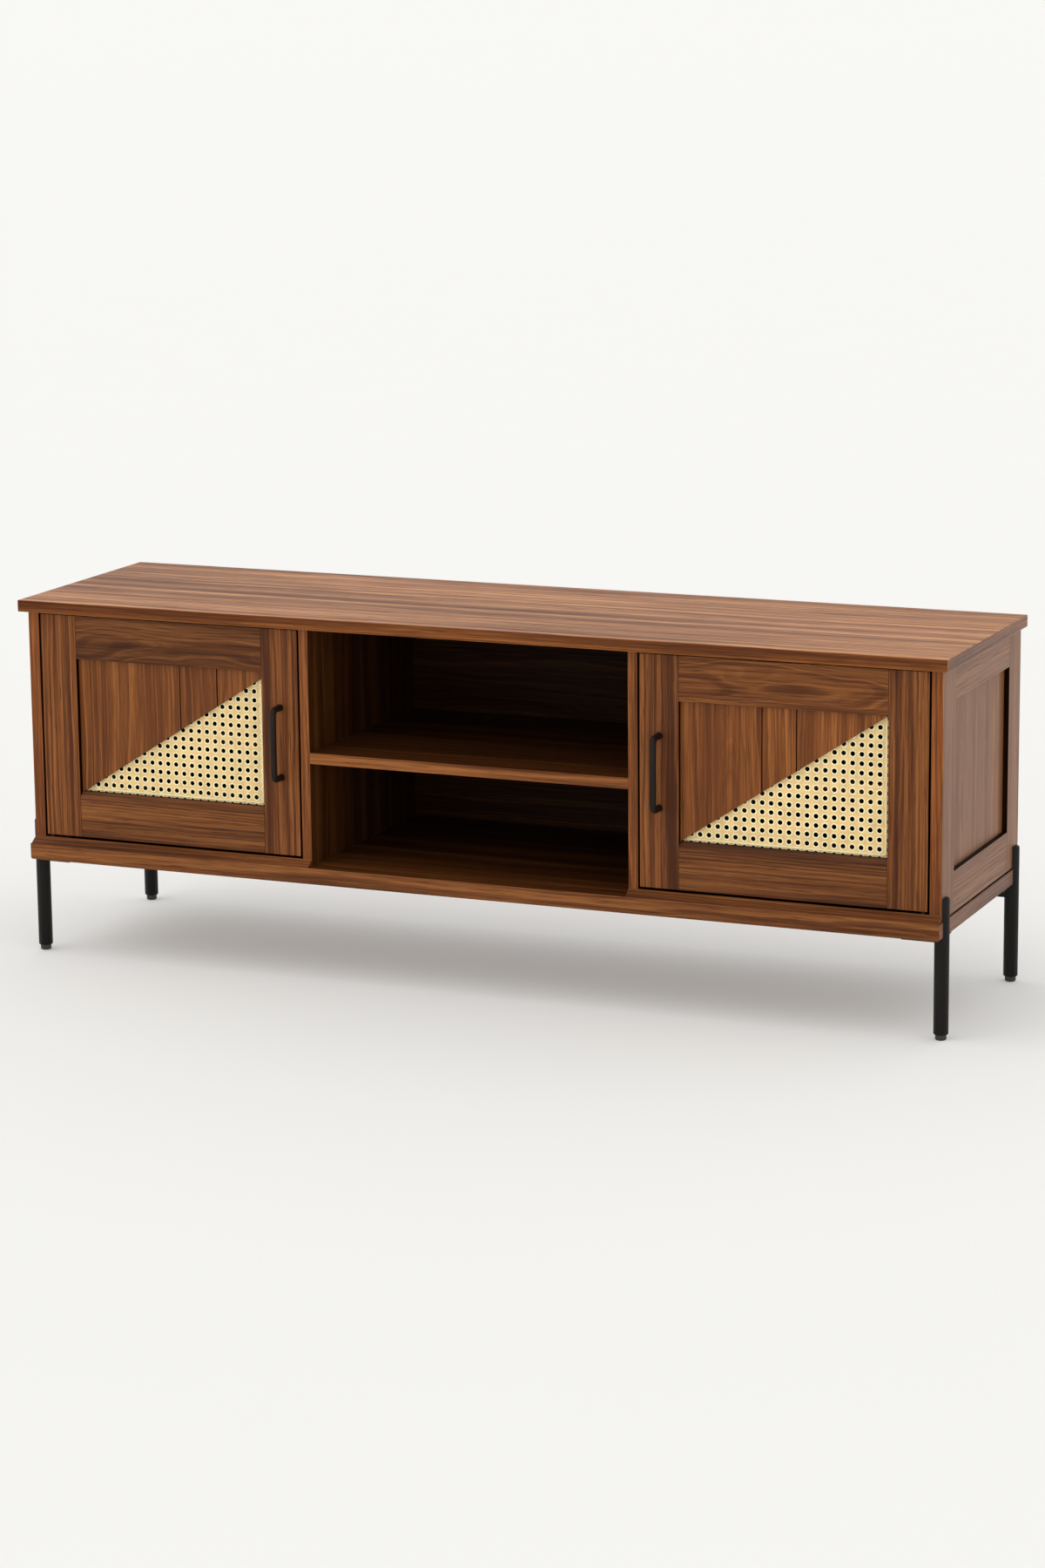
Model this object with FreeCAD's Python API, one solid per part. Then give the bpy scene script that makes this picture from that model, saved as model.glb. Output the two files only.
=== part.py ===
import FreeCAD
import Part
import math
import os

V = FreeCAD.Vector

# Millimetres. +X runs to the right along the front, +Y to the back, +Z up.
# The origin is on the floor, under the centre of the whole piece, handles included.

# Overall sizes.
TOP_WIDTH = 1500.0
TOP_DEPTH = 400.0
HEIGHT = 562.0
TOP_THICK = 18.0
TOP_END_OVERHANG = 10.0
TOP_FRONT_OVERHANG = 15.0

# Case boards.
LEG_HEIGHT = 152.0
BASE_THICK = 25.0
BASE_END_OVERHANG = 2.0
BASE_CORNER_RADIUS = 4.0
SIDE_THICK = 18.0
DIVIDER_THICK = 15.0
MIDDLE_BAY_WIDTH = 519.0
MIDDLE_SHELF_THICK = 17.0
MIDDLE_SHELF_TOP = 353.0
BACK_THICK = 5.0
BACK_LAP = 8.0
SILL_HEIGHT = 10.0
SILL_DEPTH = 18.0

# Framed ends of the case.
END_STILE_WIDTH = 58.0
END_TOP_RAIL = 52.0
END_BOTTOM_RAIL = 63.0
END_RECESS = 8.0
END_LAP = 8.0
SHADOW_GAP = 2.0
SHADOW_DEPTH = 3.0

# Shelves behind the doors.
INNER_SHELF_THICK = 15.0
INNER_SHELF_TOP = 366.0
INNER_SHELF_SIDE_GAP = 1.0
INNER_SHELF_SETBACK = 30.0
SHELF_PIN_RADIUS = 2.5
SHELF_PIN_IN = 8.0
SHELF_PIN_OUT = 9.0
SHELF_PIN_INSET = 10.0
SHELF_PIN_BACK_INSET = 35.0

# Doors.
DOOR_THICK = 18.0
DOOR_SIDE_GAP = 3.0
DOOR_END_GAP = 3.5
DOOR_STILE = 61.0
DOOR_TOP_RAIL = 68.0
DOOR_BOTTOM_RAIL = 72.0
DOOR_RAIL_BEVEL_RISE = 8.0
DOOR_RAIL_BEVEL_DEPTH = 6.5
DOOR_LIP = 8.0
DOOR_LAP = 7.0
WOOD_PANEL_THICK = 5.0
CANE_THICK = 1.5
CANE_TUCK = 12.0
BACKER_MARGIN = 14.0
GROOVE_WIDTH = 2.4
GROOVE_DEPTH = 1.2

# Where each door's diagonal starts and ends, measured in from the corners of its field.
LEFT_DIAGONAL_START = 3.0
LEFT_DIAGONAL_DROP = 9.0
RIGHT_DIAGONAL_START = 0.0
RIGHT_DIAGONAL_DROP = 0.0
LEFT_GROOVES = (0.55, 0.75)
RIGHT_GROOVES = (0.395, 0.56)

# Pull handles.
HANDLE_RADIUS = 4.75
HANDLE_CENTRES = 108.0
HANDLE_REACH = 30.0
HANDLE_BEND = 9.5
HANDLE_SCREW_RADIUS = 2.0
HANDLE_SCREW_GRIP = 9.0
HANDLE_SCREW_HEAD_RADIUS = 4.5
HANDLE_SCREW_HEAD = 2.5

# Pivot hinges, one above and one below each door.
PIVOT_FROM_EDGE = 7.0
PIVOT_FROM_FRONT = 5.0
PIVOT_RADIUS = 2.5
PIVOT_CLEARANCE = 0.05
PIVOT_COLLAR_RADIUS = 4.0
PIVOT_AIR = 0.4
HINGE_PLATE_THICK = 2.5
HINGE_PLATE_HALF_WIDTH = 4.0
HINGE_PLATE_INWARD = 32.0
HINGE_PLATE_OUTWARD = 5.5
HINGE_SCREW_PITCH = 12.0
HINGE_SCREW_FIRST = 13.0
HINGE_SCREW_RADIUS = 1.5
HINGE_SCREW_HEAD_RADIUS = 2.8
HINGE_SCREW_LENGTH = 14.0

# Magnetic catches and the steel plates they pull on.
CATCH_FROM_LATCH = 22.0
CATCH_WIDTH = 40.0
CATCH_DEPTH = 14.0
CATCH_HEIGHT = 16.0
CATCH_AIR = 0.4
STRIKE_WIDTH = 24.0
STRIKE_HEIGHT = 9.0
STRIKE_THICK = 1.0

# Legs and their fittings.
LEG_RADIUS = 11.0
LEG_BORE_RADIUS = 8.5
LEG_CHAMFER = 1.5
LEG_CAP = 6.0
LEG_AXIS_INSIDE = 3.0
LEG_FRONT_INSET = 14.0
LEG_BACK_INSET = 18.0
LEG_TONGUE_RISE = 59.0
LEG_NOTCH_GAP = 0.5
LEG_PLATE_THICK = 4.0
LEG_PLATE_LENGTH = 56.0
LEG_PLATE_PROUD = 6.0
LEG_SCREW_RADIUS = 2.0
LEG_SCREW_LENGTH = 20.0
LEG_SCREW_HEAD_RADIUS = 4.5
LEG_SCREW_HEAD = 2.5
LEG_SCREW_NEAR = 22.0
LEG_SCREW_FAR = 45.0
GLIDE_HEIGHT = 8.0
GLIDE_RADIUS = 8.3
GLIDE_CHAMFER = 1.5
GLIDE_PLUG = 12.0
STRETCHER_SIZE = 20.0
STRETCHER_WALL = 2.0

# Dowels and back screws.
DOWEL_RADIUS = 4.0
DOWEL_IN_BOARD = 12.0
DOWEL_IN_UPRIGHT = 18.0
SHELF_DOWEL_RADIUS = 3.0
SHELF_DOWEL_IN_DIVIDER = 10.0
SHELF_DOWEL_IN_SHELF = 20.0
BACK_SCREW_RADIUS = 1.5
BACK_SCREW_HEAD_RADIUS = 3.0
BACK_SCREW_LENGTH = 22.0
BACK_SCREW_END = 50.0

# Levels and planes that follow from the sizes above.
BACK = (TOP_DEPTH - TOP_FRONT_OVERHANG + HANDLE_REACH) / 2
FRONT = BACK - (TOP_DEPTH - TOP_FRONT_OVERHANG)
TOP_FRONT = BACK - TOP_DEPTH
TOP_UNDER = HEIGHT - TOP_THICK
BASE_TOP = LEG_HEIGHT + BASE_THICK
SILL_TOP = BASE_TOP + SILL_HEIGHT
SIDE_OUT = TOP_WIDTH / 2 - TOP_END_OVERHANG
SIDE_IN = SIDE_OUT - SIDE_THICK
DIVIDER_IN = MIDDLE_BAY_WIDTH / 2
DIVIDER_OUT = DIVIDER_IN + DIVIDER_THICK
BOARD_BACK = BACK - BACK_THICK
DOOR_HINGE_EDGE = SIDE_IN - DOOR_SIDE_GAP
DOOR_LATCH_EDGE = DIVIDER_OUT + DOOR_SIDE_GAP
DOOR_LOW = SILL_TOP + DOOR_END_GAP
DOOR_HIGH = TOP_UNDER - DOOR_END_GAP
DOOR_BACK = FRONT + DOOR_THICK
PIVOT_X = DOOR_HINGE_EDGE - PIVOT_FROM_EDGE
PIVOT_Y = FRONT + PIVOT_FROM_FRONT
LEG_X = SIDE_OUT - LEG_AXIS_INSIDE
FRONT_LEG_Y = FRONT + LEG_FRONT_INSET
BACK_LEG_Y = BACK - LEG_BACK_INSET
FRONT_DOWEL_Y = FRONT + END_STILE_WIDTH / 2
BACK_DOWEL_Y = BACK - END_STILE_WIDTH / 2

LEFT = -1
RIGHT = 1
SIDES = ((LEFT, "left"), (RIGHT, "right"))


def box(xs, ys, zs):
    """A block between the two limits given on each axis, in either order."""
    low = V(min(xs), min(ys), min(zs))
    size = V(abs(xs[1] - xs[0]), abs(ys[1] - ys[0]), abs(zs[1] - zs[0]))
    return Part.makeBox(size.x, size.y, size.z, low)


def sided(side, *distances):
    """Distances from the middle plane as X values on one side of it."""
    return tuple(side * distance for distance in distances)


def rod(start, direction, radius, length):
    """A plain cylinder from a point along a direction."""
    return Part.makeCylinder(radius, length, start, direction)


def prism(points, along):
    """A flat outline of points pushed along a vector."""
    outline = Part.makePolygon(points + [points[0]])
    return Part.Face(outline).extrude(along)


def cut_all(shape, tools):
    """A shape with every tool cut out of it."""
    for tool in tools:
        shape = shape.cut(tool)
    return shape


def countersunk_screw(face, into, radius, head_radius, length):
    """A screw whose flat head is flush with a face, pointing into the wood."""
    head_depth = head_radius - radius
    head = Part.makeCone(head_radius, radius, head_depth, face, into)
    shank = rod(face + into * head_depth, into, radius, length - head_depth)
    return head.fuse(shank)


def pan_screw(face, into, radius, head_radius, head_height, length):
    """A screw whose round head stands on a face, and its shank beyond that face."""
    head = rod(face - into * head_height, into, head_radius, head_height)
    return head.fuse(rod(face, into, radius, length))


def end_frame(side, name, back_panel):
    """The framed end of the case: two stiles, two rails and the panel held between them."""
    out, inner = sided(side, SIDE_OUT, SIDE_IN)
    panel_out = sided(side, SIDE_OUT - END_RECESS)[0]
    stile_front = FRONT + END_STILE_WIDTH
    stile_back = BACK - END_STILE_WIDTH
    rail_low = BASE_TOP + END_BOTTOM_RAIL
    rail_high = TOP_UNDER - END_TOP_RAIL
    panel = box(
        (inner, panel_out),
        (stile_front - END_LAP, stile_back + END_LAP),
        (rail_low - END_LAP, rail_high + END_LAP),
    )
    shadow = box(
        (out, sided(side, SIDE_OUT - SHADOW_DEPTH)[0]),
        (FRONT, BACK),
        (BASE_TOP, BASE_TOP + SHADOW_GAP),
    )
    members = {
        "front_stile": box((inner, out), (FRONT, stile_front), (BASE_TOP, TOP_UNDER)),
        "back_stile": box((inner, out), (stile_back, BACK), (BASE_TOP, TOP_UNDER)),
        "top_rail": box((inner, out), (stile_front, stile_back), (rail_high, TOP_UNDER)),
        "bottom_rail": box((inner, out), (stile_front, stile_back), (BASE_TOP, rail_low)),
    }
    parts = {f"{name}_end_panel": panel}
    for member, shape in members.items():
        parts[f"{name}_end_{member}"] = cut_all(shape, (panel, shadow, back_panel))
    return parts


def sill(side):
    """The strip under a door: a flat step behind the door line and a bevel in front of it."""
    step_x = sided(side, DIVIDER_OUT, SIDE_IN)
    step = box(step_x, (FRONT, FRONT + SILL_DEPTH), (BASE_TOP, SILL_TOP))
    start, end = sorted(sided(side, DIVIDER_IN, SIDE_OUT))
    bevel = prism(
        [V(start, FRONT, BASE_TOP), V(start, FRONT, SILL_TOP), V(start, TOP_FRONT, BASE_TOP)],
        V(end - start, 0, 0),
    )
    return step.fuse(bevel).removeSplitter()


def base_board():
    """The thick board under the case, its lower ends eased and notched for the legs."""
    reach = SIDE_OUT + BASE_END_OVERHANG
    board = box((-reach, reach), (TOP_FRONT, BACK), (LEG_HEIGHT, BASE_TOP))
    lower_ends = [
        edge
        for edge in board.Edges
        if abs(edge.CenterOfMass.z - LEG_HEIGHT) < 1 and abs(edge.CenterOfMass.x) > reach - 1
    ]
    board = board.makeFillet(BASE_CORNER_RADIUS, lower_ends)
    half_notch = LEG_RADIUS + LEG_NOTCH_GAP
    for side, _ in SIDES:
        for leg_y in (FRONT_LEG_Y, BACK_LEG_Y):
            notch_x = sided(side, SIDE_OUT, reach)
            notch_y = (leg_y - half_notch, leg_y + half_notch)
            board = board.cut(box(notch_x, notch_y, (LEG_HEIGHT, BASE_TOP)))
    return board


def leg_plate(side, leg_y, toward):
    """The flat plate welded to a leg's top, reaching in and toward the middle of the case."""
    return box(
        sided(side, LEG_X - LEG_PLATE_LENGTH, LEG_X),
        (
            leg_y - toward * (LEG_RADIUS + LEG_PLATE_PROUD),
            leg_y + toward * (LEG_PLATE_LENGTH - LEG_RADIUS),
        ),
        (LEG_HEIGHT - LEG_PLATE_THICK, LEG_HEIGHT),
    )


def leg(side, leg_y, toward):
    """A round tube leg with a half-round tongue that laps the end of the case."""
    x = side * LEG_X
    up = V(0, 0, 1)
    foot = Part.makeCone(
        LEG_RADIUS - LEG_CHAMFER, LEG_RADIUS, LEG_CHAMFER, V(x, leg_y, GLIDE_HEIGHT), up
    )
    tube_low = GLIDE_HEIGHT + LEG_CHAMFER
    tube = rod(V(x, leg_y, tube_low), up, LEG_RADIUS, LEG_HEIGHT - tube_low)
    bore_height = LEG_HEIGHT - LEG_CAP - GLIDE_HEIGHT
    bore = rod(V(x, leg_y, GLIDE_HEIGHT), up, LEG_BORE_RADIUS, bore_height)
    tongue = rod(V(x, leg_y, LEG_HEIGHT - LEG_CAP), up, LEG_RADIUS, LEG_TONGUE_RISE + LEG_CAP)
    outside = box(
        sided(side, SIDE_OUT, SIDE_OUT + LEG_RADIUS),
        (leg_y - LEG_RADIUS, leg_y + LEG_RADIUS),
        (LEG_HEIGHT - LEG_CAP, LEG_HEIGHT + LEG_TONGUE_RISE),
    )
    solid = foot.fuse([tube, tongue.common(outside), leg_plate(side, leg_y, toward)])
    return solid.cut(bore).removeSplitter()


def leg_screw_set(side, leg_y, toward):
    """The three screws that hold one leg plate up against the base board."""
    face_z = LEG_HEIGHT - LEG_PLATE_THICK
    spots = (
        (LEG_SCREW_NEAR, LEG_SCREW_NEAR),
        (LEG_SCREW_FAR, LEG_SCREW_NEAR),
        (LEG_SCREW_NEAR, LEG_SCREW_FAR - LEG_RADIUS),
    )
    return [
        pan_screw(
            V(side * (LEG_X - inward), leg_y + toward * along, face_z),
            V(0, 0, 1),
            LEG_SCREW_RADIUS,
            LEG_SCREW_HEAD_RADIUS,
            LEG_SCREW_HEAD,
            LEG_SCREW_LENGTH,
        )
        for inward, along in spots
    ]


def glide(side, leg_y):
    """The round plastic foot pushed into a leg's open end."""
    x = side * LEG_X
    up = V(0, 0, 1)
    rim = Part.makeCone(GLIDE_RADIUS - GLIDE_CHAMFER, GLIDE_RADIUS, GLIDE_CHAMFER, V(x, leg_y, 0), up)
    disc = rod(V(x, leg_y, GLIDE_CHAMFER), up, GLIDE_RADIUS, GLIDE_HEIGHT - GLIDE_CHAMFER)
    plug = rod(V(x, leg_y, GLIDE_HEIGHT), up, LEG_BORE_RADIUS, GLIDE_PLUG)
    return rim.fuse([disc, plug]).removeSplitter()


def rear_stretcher(plates):
    """The square tube between the back legs, under the base board."""
    reach = LEG_X
    half = STRETCHER_SIZE / 2
    ys = (BACK_LEG_Y - half, BACK_LEG_Y + half)
    low = LEG_HEIGHT - STRETCHER_SIZE
    tube = box((-reach, reach), ys, (low, LEG_HEIGHT))
    hollow = box(
        (-reach, reach),
        (ys[0] + STRETCHER_WALL, ys[1] - STRETCHER_WALL),
        (low + STRETCHER_WALL, LEG_HEIGHT - STRETCHER_WALL),
    )
    ends = [rod(V(side * LEG_X, BACK_LEG_Y, low), V(0, 0, 1), LEG_RADIUS, STRETCHER_SIZE)
            for side, _ in SIDES]
    shape = cut_all(tube.cut(hollow), ends + plates)
    return max(shape.Solids, key=lambda solid: solid.Volume)


def upright_dowels():
    """Dowels that join each upright to the top and to the base board."""
    dowels = []
    middles = (SIDE_OUT - SIDE_THICK / 2, DIVIDER_IN + DIVIDER_THICK / 2)
    length = DOWEL_IN_BOARD + DOWEL_IN_UPRIGHT
    for side, _ in SIDES:
        for middle in middles:
            for y in (FRONT_DOWEL_Y, BACK_DOWEL_Y):
                low = V(side * middle, y, BASE_TOP - DOWEL_IN_BOARD)
                high = V(side * middle, y, TOP_UNDER - DOWEL_IN_UPRIGHT)
                dowels.append(rod(low, V(0, 0, 1), DOWEL_RADIUS, length))
                dowels.append(rod(high, V(0, 0, 1), DOWEL_RADIUS, length))
    return dowels


def shelf_dowels():
    """Dowels that join the middle shelf to the two dividers."""
    z = MIDDLE_SHELF_TOP - MIDDLE_SHELF_THICK / 2
    length = SHELF_DOWEL_IN_DIVIDER + SHELF_DOWEL_IN_SHELF
    return [
        rod(
            V(side * (DIVIDER_IN - SHELF_DOWEL_IN_SHELF), y, z),
            V(side, 0, 0),
            SHELF_DOWEL_RADIUS,
            length,
        )
        for side, _ in SIDES
        for y in (FRONT_DOWEL_Y, BACK_DOWEL_Y)
    ]


def shelf_pins():
    """The pins that carry the shelves behind the doors, four to a shelf."""
    z = INNER_SHELF_TOP - INNER_SHELF_THICK - SHELF_PIN_RADIUS
    length = SHELF_PIN_IN + SHELF_PIN_OUT
    front_y = FRONT + INNER_SHELF_SETBACK + SHELF_PIN_INSET
    pins = []
    for side, _ in SIDES:
        for y in (front_y, BACK - SHELF_PIN_BACK_INSET):
            end = V(side * (SIDE_IN + SHELF_PIN_IN), y, z)
            middle = V(side * (DIVIDER_OUT - SHELF_PIN_IN), y, z)
            pins.append(rod(end, V(-side, 0, 0), SHELF_PIN_RADIUS, length))
            pins.append(rod(middle, V(side, 0, 0), SHELF_PIN_RADIUS, length))
    return pins


def back_screws():
    """Screws through the back panel into the dividers and the middle shelf."""
    middle = DIVIDER_IN + DIVIDER_THICK / 2
    shelf_z = MIDDLE_SHELF_TOP - MIDDLE_SHELF_THICK / 2
    spots = [(side * middle, z)
             for side, _ in SIDES
             for z in (BASE_TOP + BACK_SCREW_END, TOP_UNDER - BACK_SCREW_END)]
    spots += [(x, shelf_z) for x in (-middle / 2, middle / 2)]
    return [
        countersunk_screw(
            V(x, BACK, z), V(0, -1, 0), BACK_SCREW_RADIUS, BACK_SCREW_HEAD_RADIUS, BACK_SCREW_LENGTH
        )
        for x, z in spots
    ]


def hinge_plate(side, face_z, inward_z):
    """A flat hinge plate let into wood, its open face at face_z."""
    return box(
        sided(side, PIVOT_X - HINGE_PLATE_INWARD, PIVOT_X + HINGE_PLATE_OUTWARD),
        (PIVOT_Y - HINGE_PLATE_HALF_WIDTH, PIVOT_Y + HINGE_PLATE_HALF_WIDTH),
        (face_z, face_z + inward_z * HINGE_PLATE_THICK),
    )


def hinge_screws(side, face_z, inward_z):
    """The two screws of one hinge plate."""
    return [
        countersunk_screw(
            V(side * (PIVOT_X - HINGE_SCREW_FIRST - step * HINGE_SCREW_PITCH), PIVOT_Y, face_z),
            V(0, 0, inward_z),
            HINGE_SCREW_RADIUS,
            HINGE_SCREW_HEAD_RADIUS,
            HINGE_SCREW_LENGTH,
        )
        for step in range(2)
    ]


def case_pivot(side, face_z, toward_door):
    """A case plate with the collar and pin that carry the door."""
    out = V(0, 0, toward_door)
    face = V(side * PIVOT_X, PIVOT_Y, face_z)
    collar = rod(face, out, PIVOT_COLLAR_RADIUS, DOOR_END_GAP - PIVOT_AIR)
    pin = rod(face, out, PIVOT_RADIUS, DOOR_END_GAP + HINGE_PLATE_THICK - PIVOT_AIR)
    return hinge_plate(side, face_z, -toward_door).fuse([collar, pin]).removeSplitter()


def door_leaf(side, face_z, into_door):
    """A door plate with the bore that turns on the case pin."""
    bore = rod(
        V(side * PIVOT_X, PIVOT_Y, face_z),
        V(0, 0, into_door),
        PIVOT_RADIUS + PIVOT_CLEARANCE,
        HINGE_PLATE_THICK,
    )
    return hinge_plate(side, face_z, into_door).cut(bore)


def half_plane(start, end, shift, upper, y, depth):
    """A large slab on one side of a door's diagonal, pushed off it by shift."""
    run = V(end[0] - start[0], 0, end[1] - start[1]).normalize()
    above = V(-run.z, 0, run.x)
    if above.z < 0:
        above = above * -1
    away = above if upper else above * -1
    origin = V(start[0], y, start[1]) + away * shift
    far = TOP_WIDTH
    near_a = origin - run * far
    near_b = origin + run * far
    return prism([near_a, near_b, near_b + away * far, near_a + away * far], V(0, depth, 0))


def handle(side, z_middle):
    """A round-bar pull bent into two posts."""
    x = side * (DOOR_LATCH_EDGE + DOOR_STILE / 2)
    bar_y = FRONT - HANDLE_REACH + HANDLE_RADIUS
    half = HANDLE_CENTRES / 2
    turn = HANDLE_BEND * (1 - math.sqrt(0.5))

    def post(sign):
        z = z_middle + sign * half
        foot = V(x, FRONT, z)
        bend_start = V(x, bar_y + HANDLE_BEND, z)
        bend_middle = V(x, bar_y + turn, z - sign * turn)
        bend_end = V(x, bar_y, z - sign * HANDLE_BEND)
        return foot, bend_start, bend_middle, bend_end

    low = post(-1)
    high = post(1)
    path = Part.Wire([
        Part.makeLine(low[0], low[1]),
        Part.Arc(low[1], low[2], low[3]).toShape(),
        Part.makeLine(low[3], high[3]),
        Part.Arc(high[3], high[2], high[1]).toShape(),
        Part.makeLine(high[1], high[0]),
    ])
    ring = Part.Wire(Part.makeCircle(HANDLE_RADIUS, low[0], V(0, 1, 0)))
    return path.makePipeShell([ring], True, True), [low[0], high[0]]


def door(side, name, start_in, end_drop, grooves):
    """One door: frame, wood panel, cane, backer, pull, hinge leaves and strike plate."""
    latch, hinge = sided(side, DOOR_LATCH_EDGE, DOOR_HINGE_EDGE)
    field_x = sorted(sided(side, DOOR_LATCH_EDGE + DOOR_STILE, DOOR_HINGE_EDGE - DOOR_STILE))
    field_z = (DOOR_LOW + DOOR_BOTTOM_RAIL, DOOR_HIGH - DOOR_TOP_RAIL)
    lapped_x = (field_x[0] - DOOR_LAP, field_x[1] + DOOR_LAP)
    lapped_z = (field_z[0] - DOOR_LAP, field_z[1] + DOOR_LAP)
    start = (field_x[0] + start_in, field_z[0])
    end = (field_x[1], field_z[1] - end_drop)

    wood_y = FRONT + DOOR_LIP
    cane_y = wood_y + WOOD_PANEL_THICK
    backer_y = cane_y + CANE_THICK
    wood = box(lapped_x, (wood_y, cane_y), lapped_z)
    wood = wood.common(half_plane(start, end, 0, True, wood_y, WOOD_PANEL_THICK))
    for share in grooves:
        x = field_x[0] + share * (field_x[1] - field_x[0])
        groove = prism(
            [
                V(x - GROOVE_WIDTH / 2, wood_y, lapped_z[0]),
                V(x, wood_y + GROOVE_DEPTH, lapped_z[0]),
                V(x + GROOVE_WIDTH / 2, wood_y, lapped_z[0]),
            ],
            V(0, 0, lapped_z[1] - lapped_z[0]),
        )
        wood = wood.cut(groove)
    cane = box(lapped_x, (cane_y, backer_y), lapped_z)
    cane = cane.common(half_plane(start, end, -CANE_TUCK, False, cane_y, CANE_THICK))
    backer = box(lapped_x, (backer_y, DOOR_BACK), lapped_z)
    window = box(
        (field_x[0] + BACKER_MARGIN, field_x[1] - BACKER_MARGIN),
        (backer_y, DOOR_BACK),
        (field_z[0] + BACKER_MARGIN, field_z[1] - BACKER_MARGIN),
    )
    depth = DOOR_BACK - backer_y
    backer = backer.cut(window.common(half_plane(start, end, BACKER_MARGIN, False, backer_y, depth)))

    latch_in = latch + side * DOOR_STILE
    hinge_in = hinge - side * DOOR_STILE
    ys = (FRONT, DOOR_BACK)
    frame = {
        "latch_stile": box((latch, latch_in), ys, (DOOR_LOW, DOOR_HIGH)),
        "hinge_stile": box((hinge_in, hinge), ys, (DOOR_LOW, DOOR_HIGH)),
        "top_rail": box(field_x, ys, (field_z[1], DOOR_HIGH)),
        "bottom_rail": box(field_x, ys, (DOOR_LOW, field_z[0])),
    }
    bevel = prism(
        [
            V(field_x[0], FRONT, field_z[0]),
            V(field_x[0], FRONT, field_z[0] - DOOR_RAIL_BEVEL_RISE),
            V(field_x[0], FRONT + DOOR_RAIL_BEVEL_DEPTH, field_z[0]),
        ],
        V(field_x[1] - field_x[0], 0, 0),
    )
    frame["bottom_rail"] = frame["bottom_rail"].cut(bevel)

    pull, posts = handle(side, (DOOR_LOW + DOOR_HIGH) / 2)
    pull_screws = []
    for post in posts:
        head_face = V(post.x, DOOR_BACK, post.z)
        screw = pan_screw(
            head_face,
            V(0, -1, 0),
            HANDLE_SCREW_RADIUS,
            HANDLE_SCREW_HEAD_RADIUS,
            HANDLE_SCREW_HEAD,
            DOOR_THICK + HANDLE_SCREW_GRIP,
        )
        pull_screws.append(screw)
    pull = cut_all(pull, pull_screws)

    leaves = [door_leaf(side, DOOR_HIGH, -1), door_leaf(side, DOOR_LOW, 1)]
    pockets = [hinge_plate(side, DOOR_HIGH, -1), hinge_plate(side, DOOR_LOW, 1)]
    leaf_screws = hinge_screws(side, DOOR_HIGH, -1) + hinge_screws(side, DOOR_LOW, 1)
    leaves = [cut_all(leaf, leaf_screws) for leaf in leaves]

    strike_x = sided(side, DOOR_LATCH_EDGE + CATCH_FROM_LATCH)[0]
    strike_top = DOOR_HIGH - STRIKE_THICK
    strike = box(
        (strike_x - STRIKE_WIDTH / 2, strike_x + STRIKE_WIDTH / 2),
        (DOOR_BACK - STRIKE_THICK, DOOR_BACK),
        (strike_top - STRIKE_HEIGHT, strike_top),
    )

    tools = [wood, cane, backer, strike] + pockets + leaf_screws + pull_screws
    parts = {f"{name}_door_{member}": cut_all(shape, tools) for member, shape in frame.items()}
    parts[f"{name}_door_wood_panel"] = wood
    parts[f"{name}_door_cane"] = cane
    parts[f"{name}_door_backer"] = backer
    parts[f"{name}_door_handle"] = pull
    parts[f"{name}_door_handle_screws"] = Part.makeCompound(pull_screws)
    parts[f"{name}_door_hinge_leaves"] = Part.makeCompound(leaves)
    parts[f"{name}_door_hinge_screws"] = Part.makeCompound(leaf_screws)
    parts[f"{name}_door_strike_plate"] = strike
    return parts


def catch(side):
    """The magnetic catch under the top, just behind the door's latch corner."""
    x = side * (DOOR_LATCH_EDGE + CATCH_FROM_LATCH)
    y = DOOR_BACK + CATCH_AIR
    return box(
        (x - CATCH_WIDTH / 2, x + CATCH_WIDTH / 2),
        (y, y + CATCH_DEPTH),
        (TOP_UNDER - CATCH_HEIGHT, TOP_UNDER),
    )


def case_wood():
    """The boards and frames of the case, before the bores and pockets are cut."""
    top_reach = TOP_WIDTH / 2
    back_reach = SIDE_IN + BACK_LAP
    back_panel = box((-back_reach, back_reach), (BOARD_BACK, BACK), (BASE_TOP, TOP_UNDER))
    shelf_z = (MIDDLE_SHELF_TOP - MIDDLE_SHELF_THICK, MIDDLE_SHELF_TOP)
    wood = {
        "top_panel": box((-top_reach, top_reach), (TOP_FRONT, BACK), (TOP_UNDER, HEIGHT)),
        "base_board": base_board(),
        "back_panel": back_panel,
        "middle_shelf": box((-DIVIDER_IN, DIVIDER_IN), (FRONT, BOARD_BACK), shelf_z),
    }
    for side, name in SIDES:
        wood.update(end_frame(side, name, back_panel))
        wood[f"{name}_divider"] = box(
            sided(side, DIVIDER_IN, DIVIDER_OUT), (FRONT, BOARD_BACK), (BASE_TOP, TOP_UNDER)
        )
        wood[f"{name}_sill"] = sill(side)
        wood[f"{name}_inner_shelf"] = box(
            sided(side, DIVIDER_OUT + INNER_SHELF_SIDE_GAP, SIDE_IN - INNER_SHELF_SIDE_GAP),
            (FRONT + INNER_SHELF_SETBACK, BOARD_BACK),
            (INNER_SHELF_TOP - INNER_SHELF_THICK, INNER_SHELF_TOP),
        )
    return wood


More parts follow.
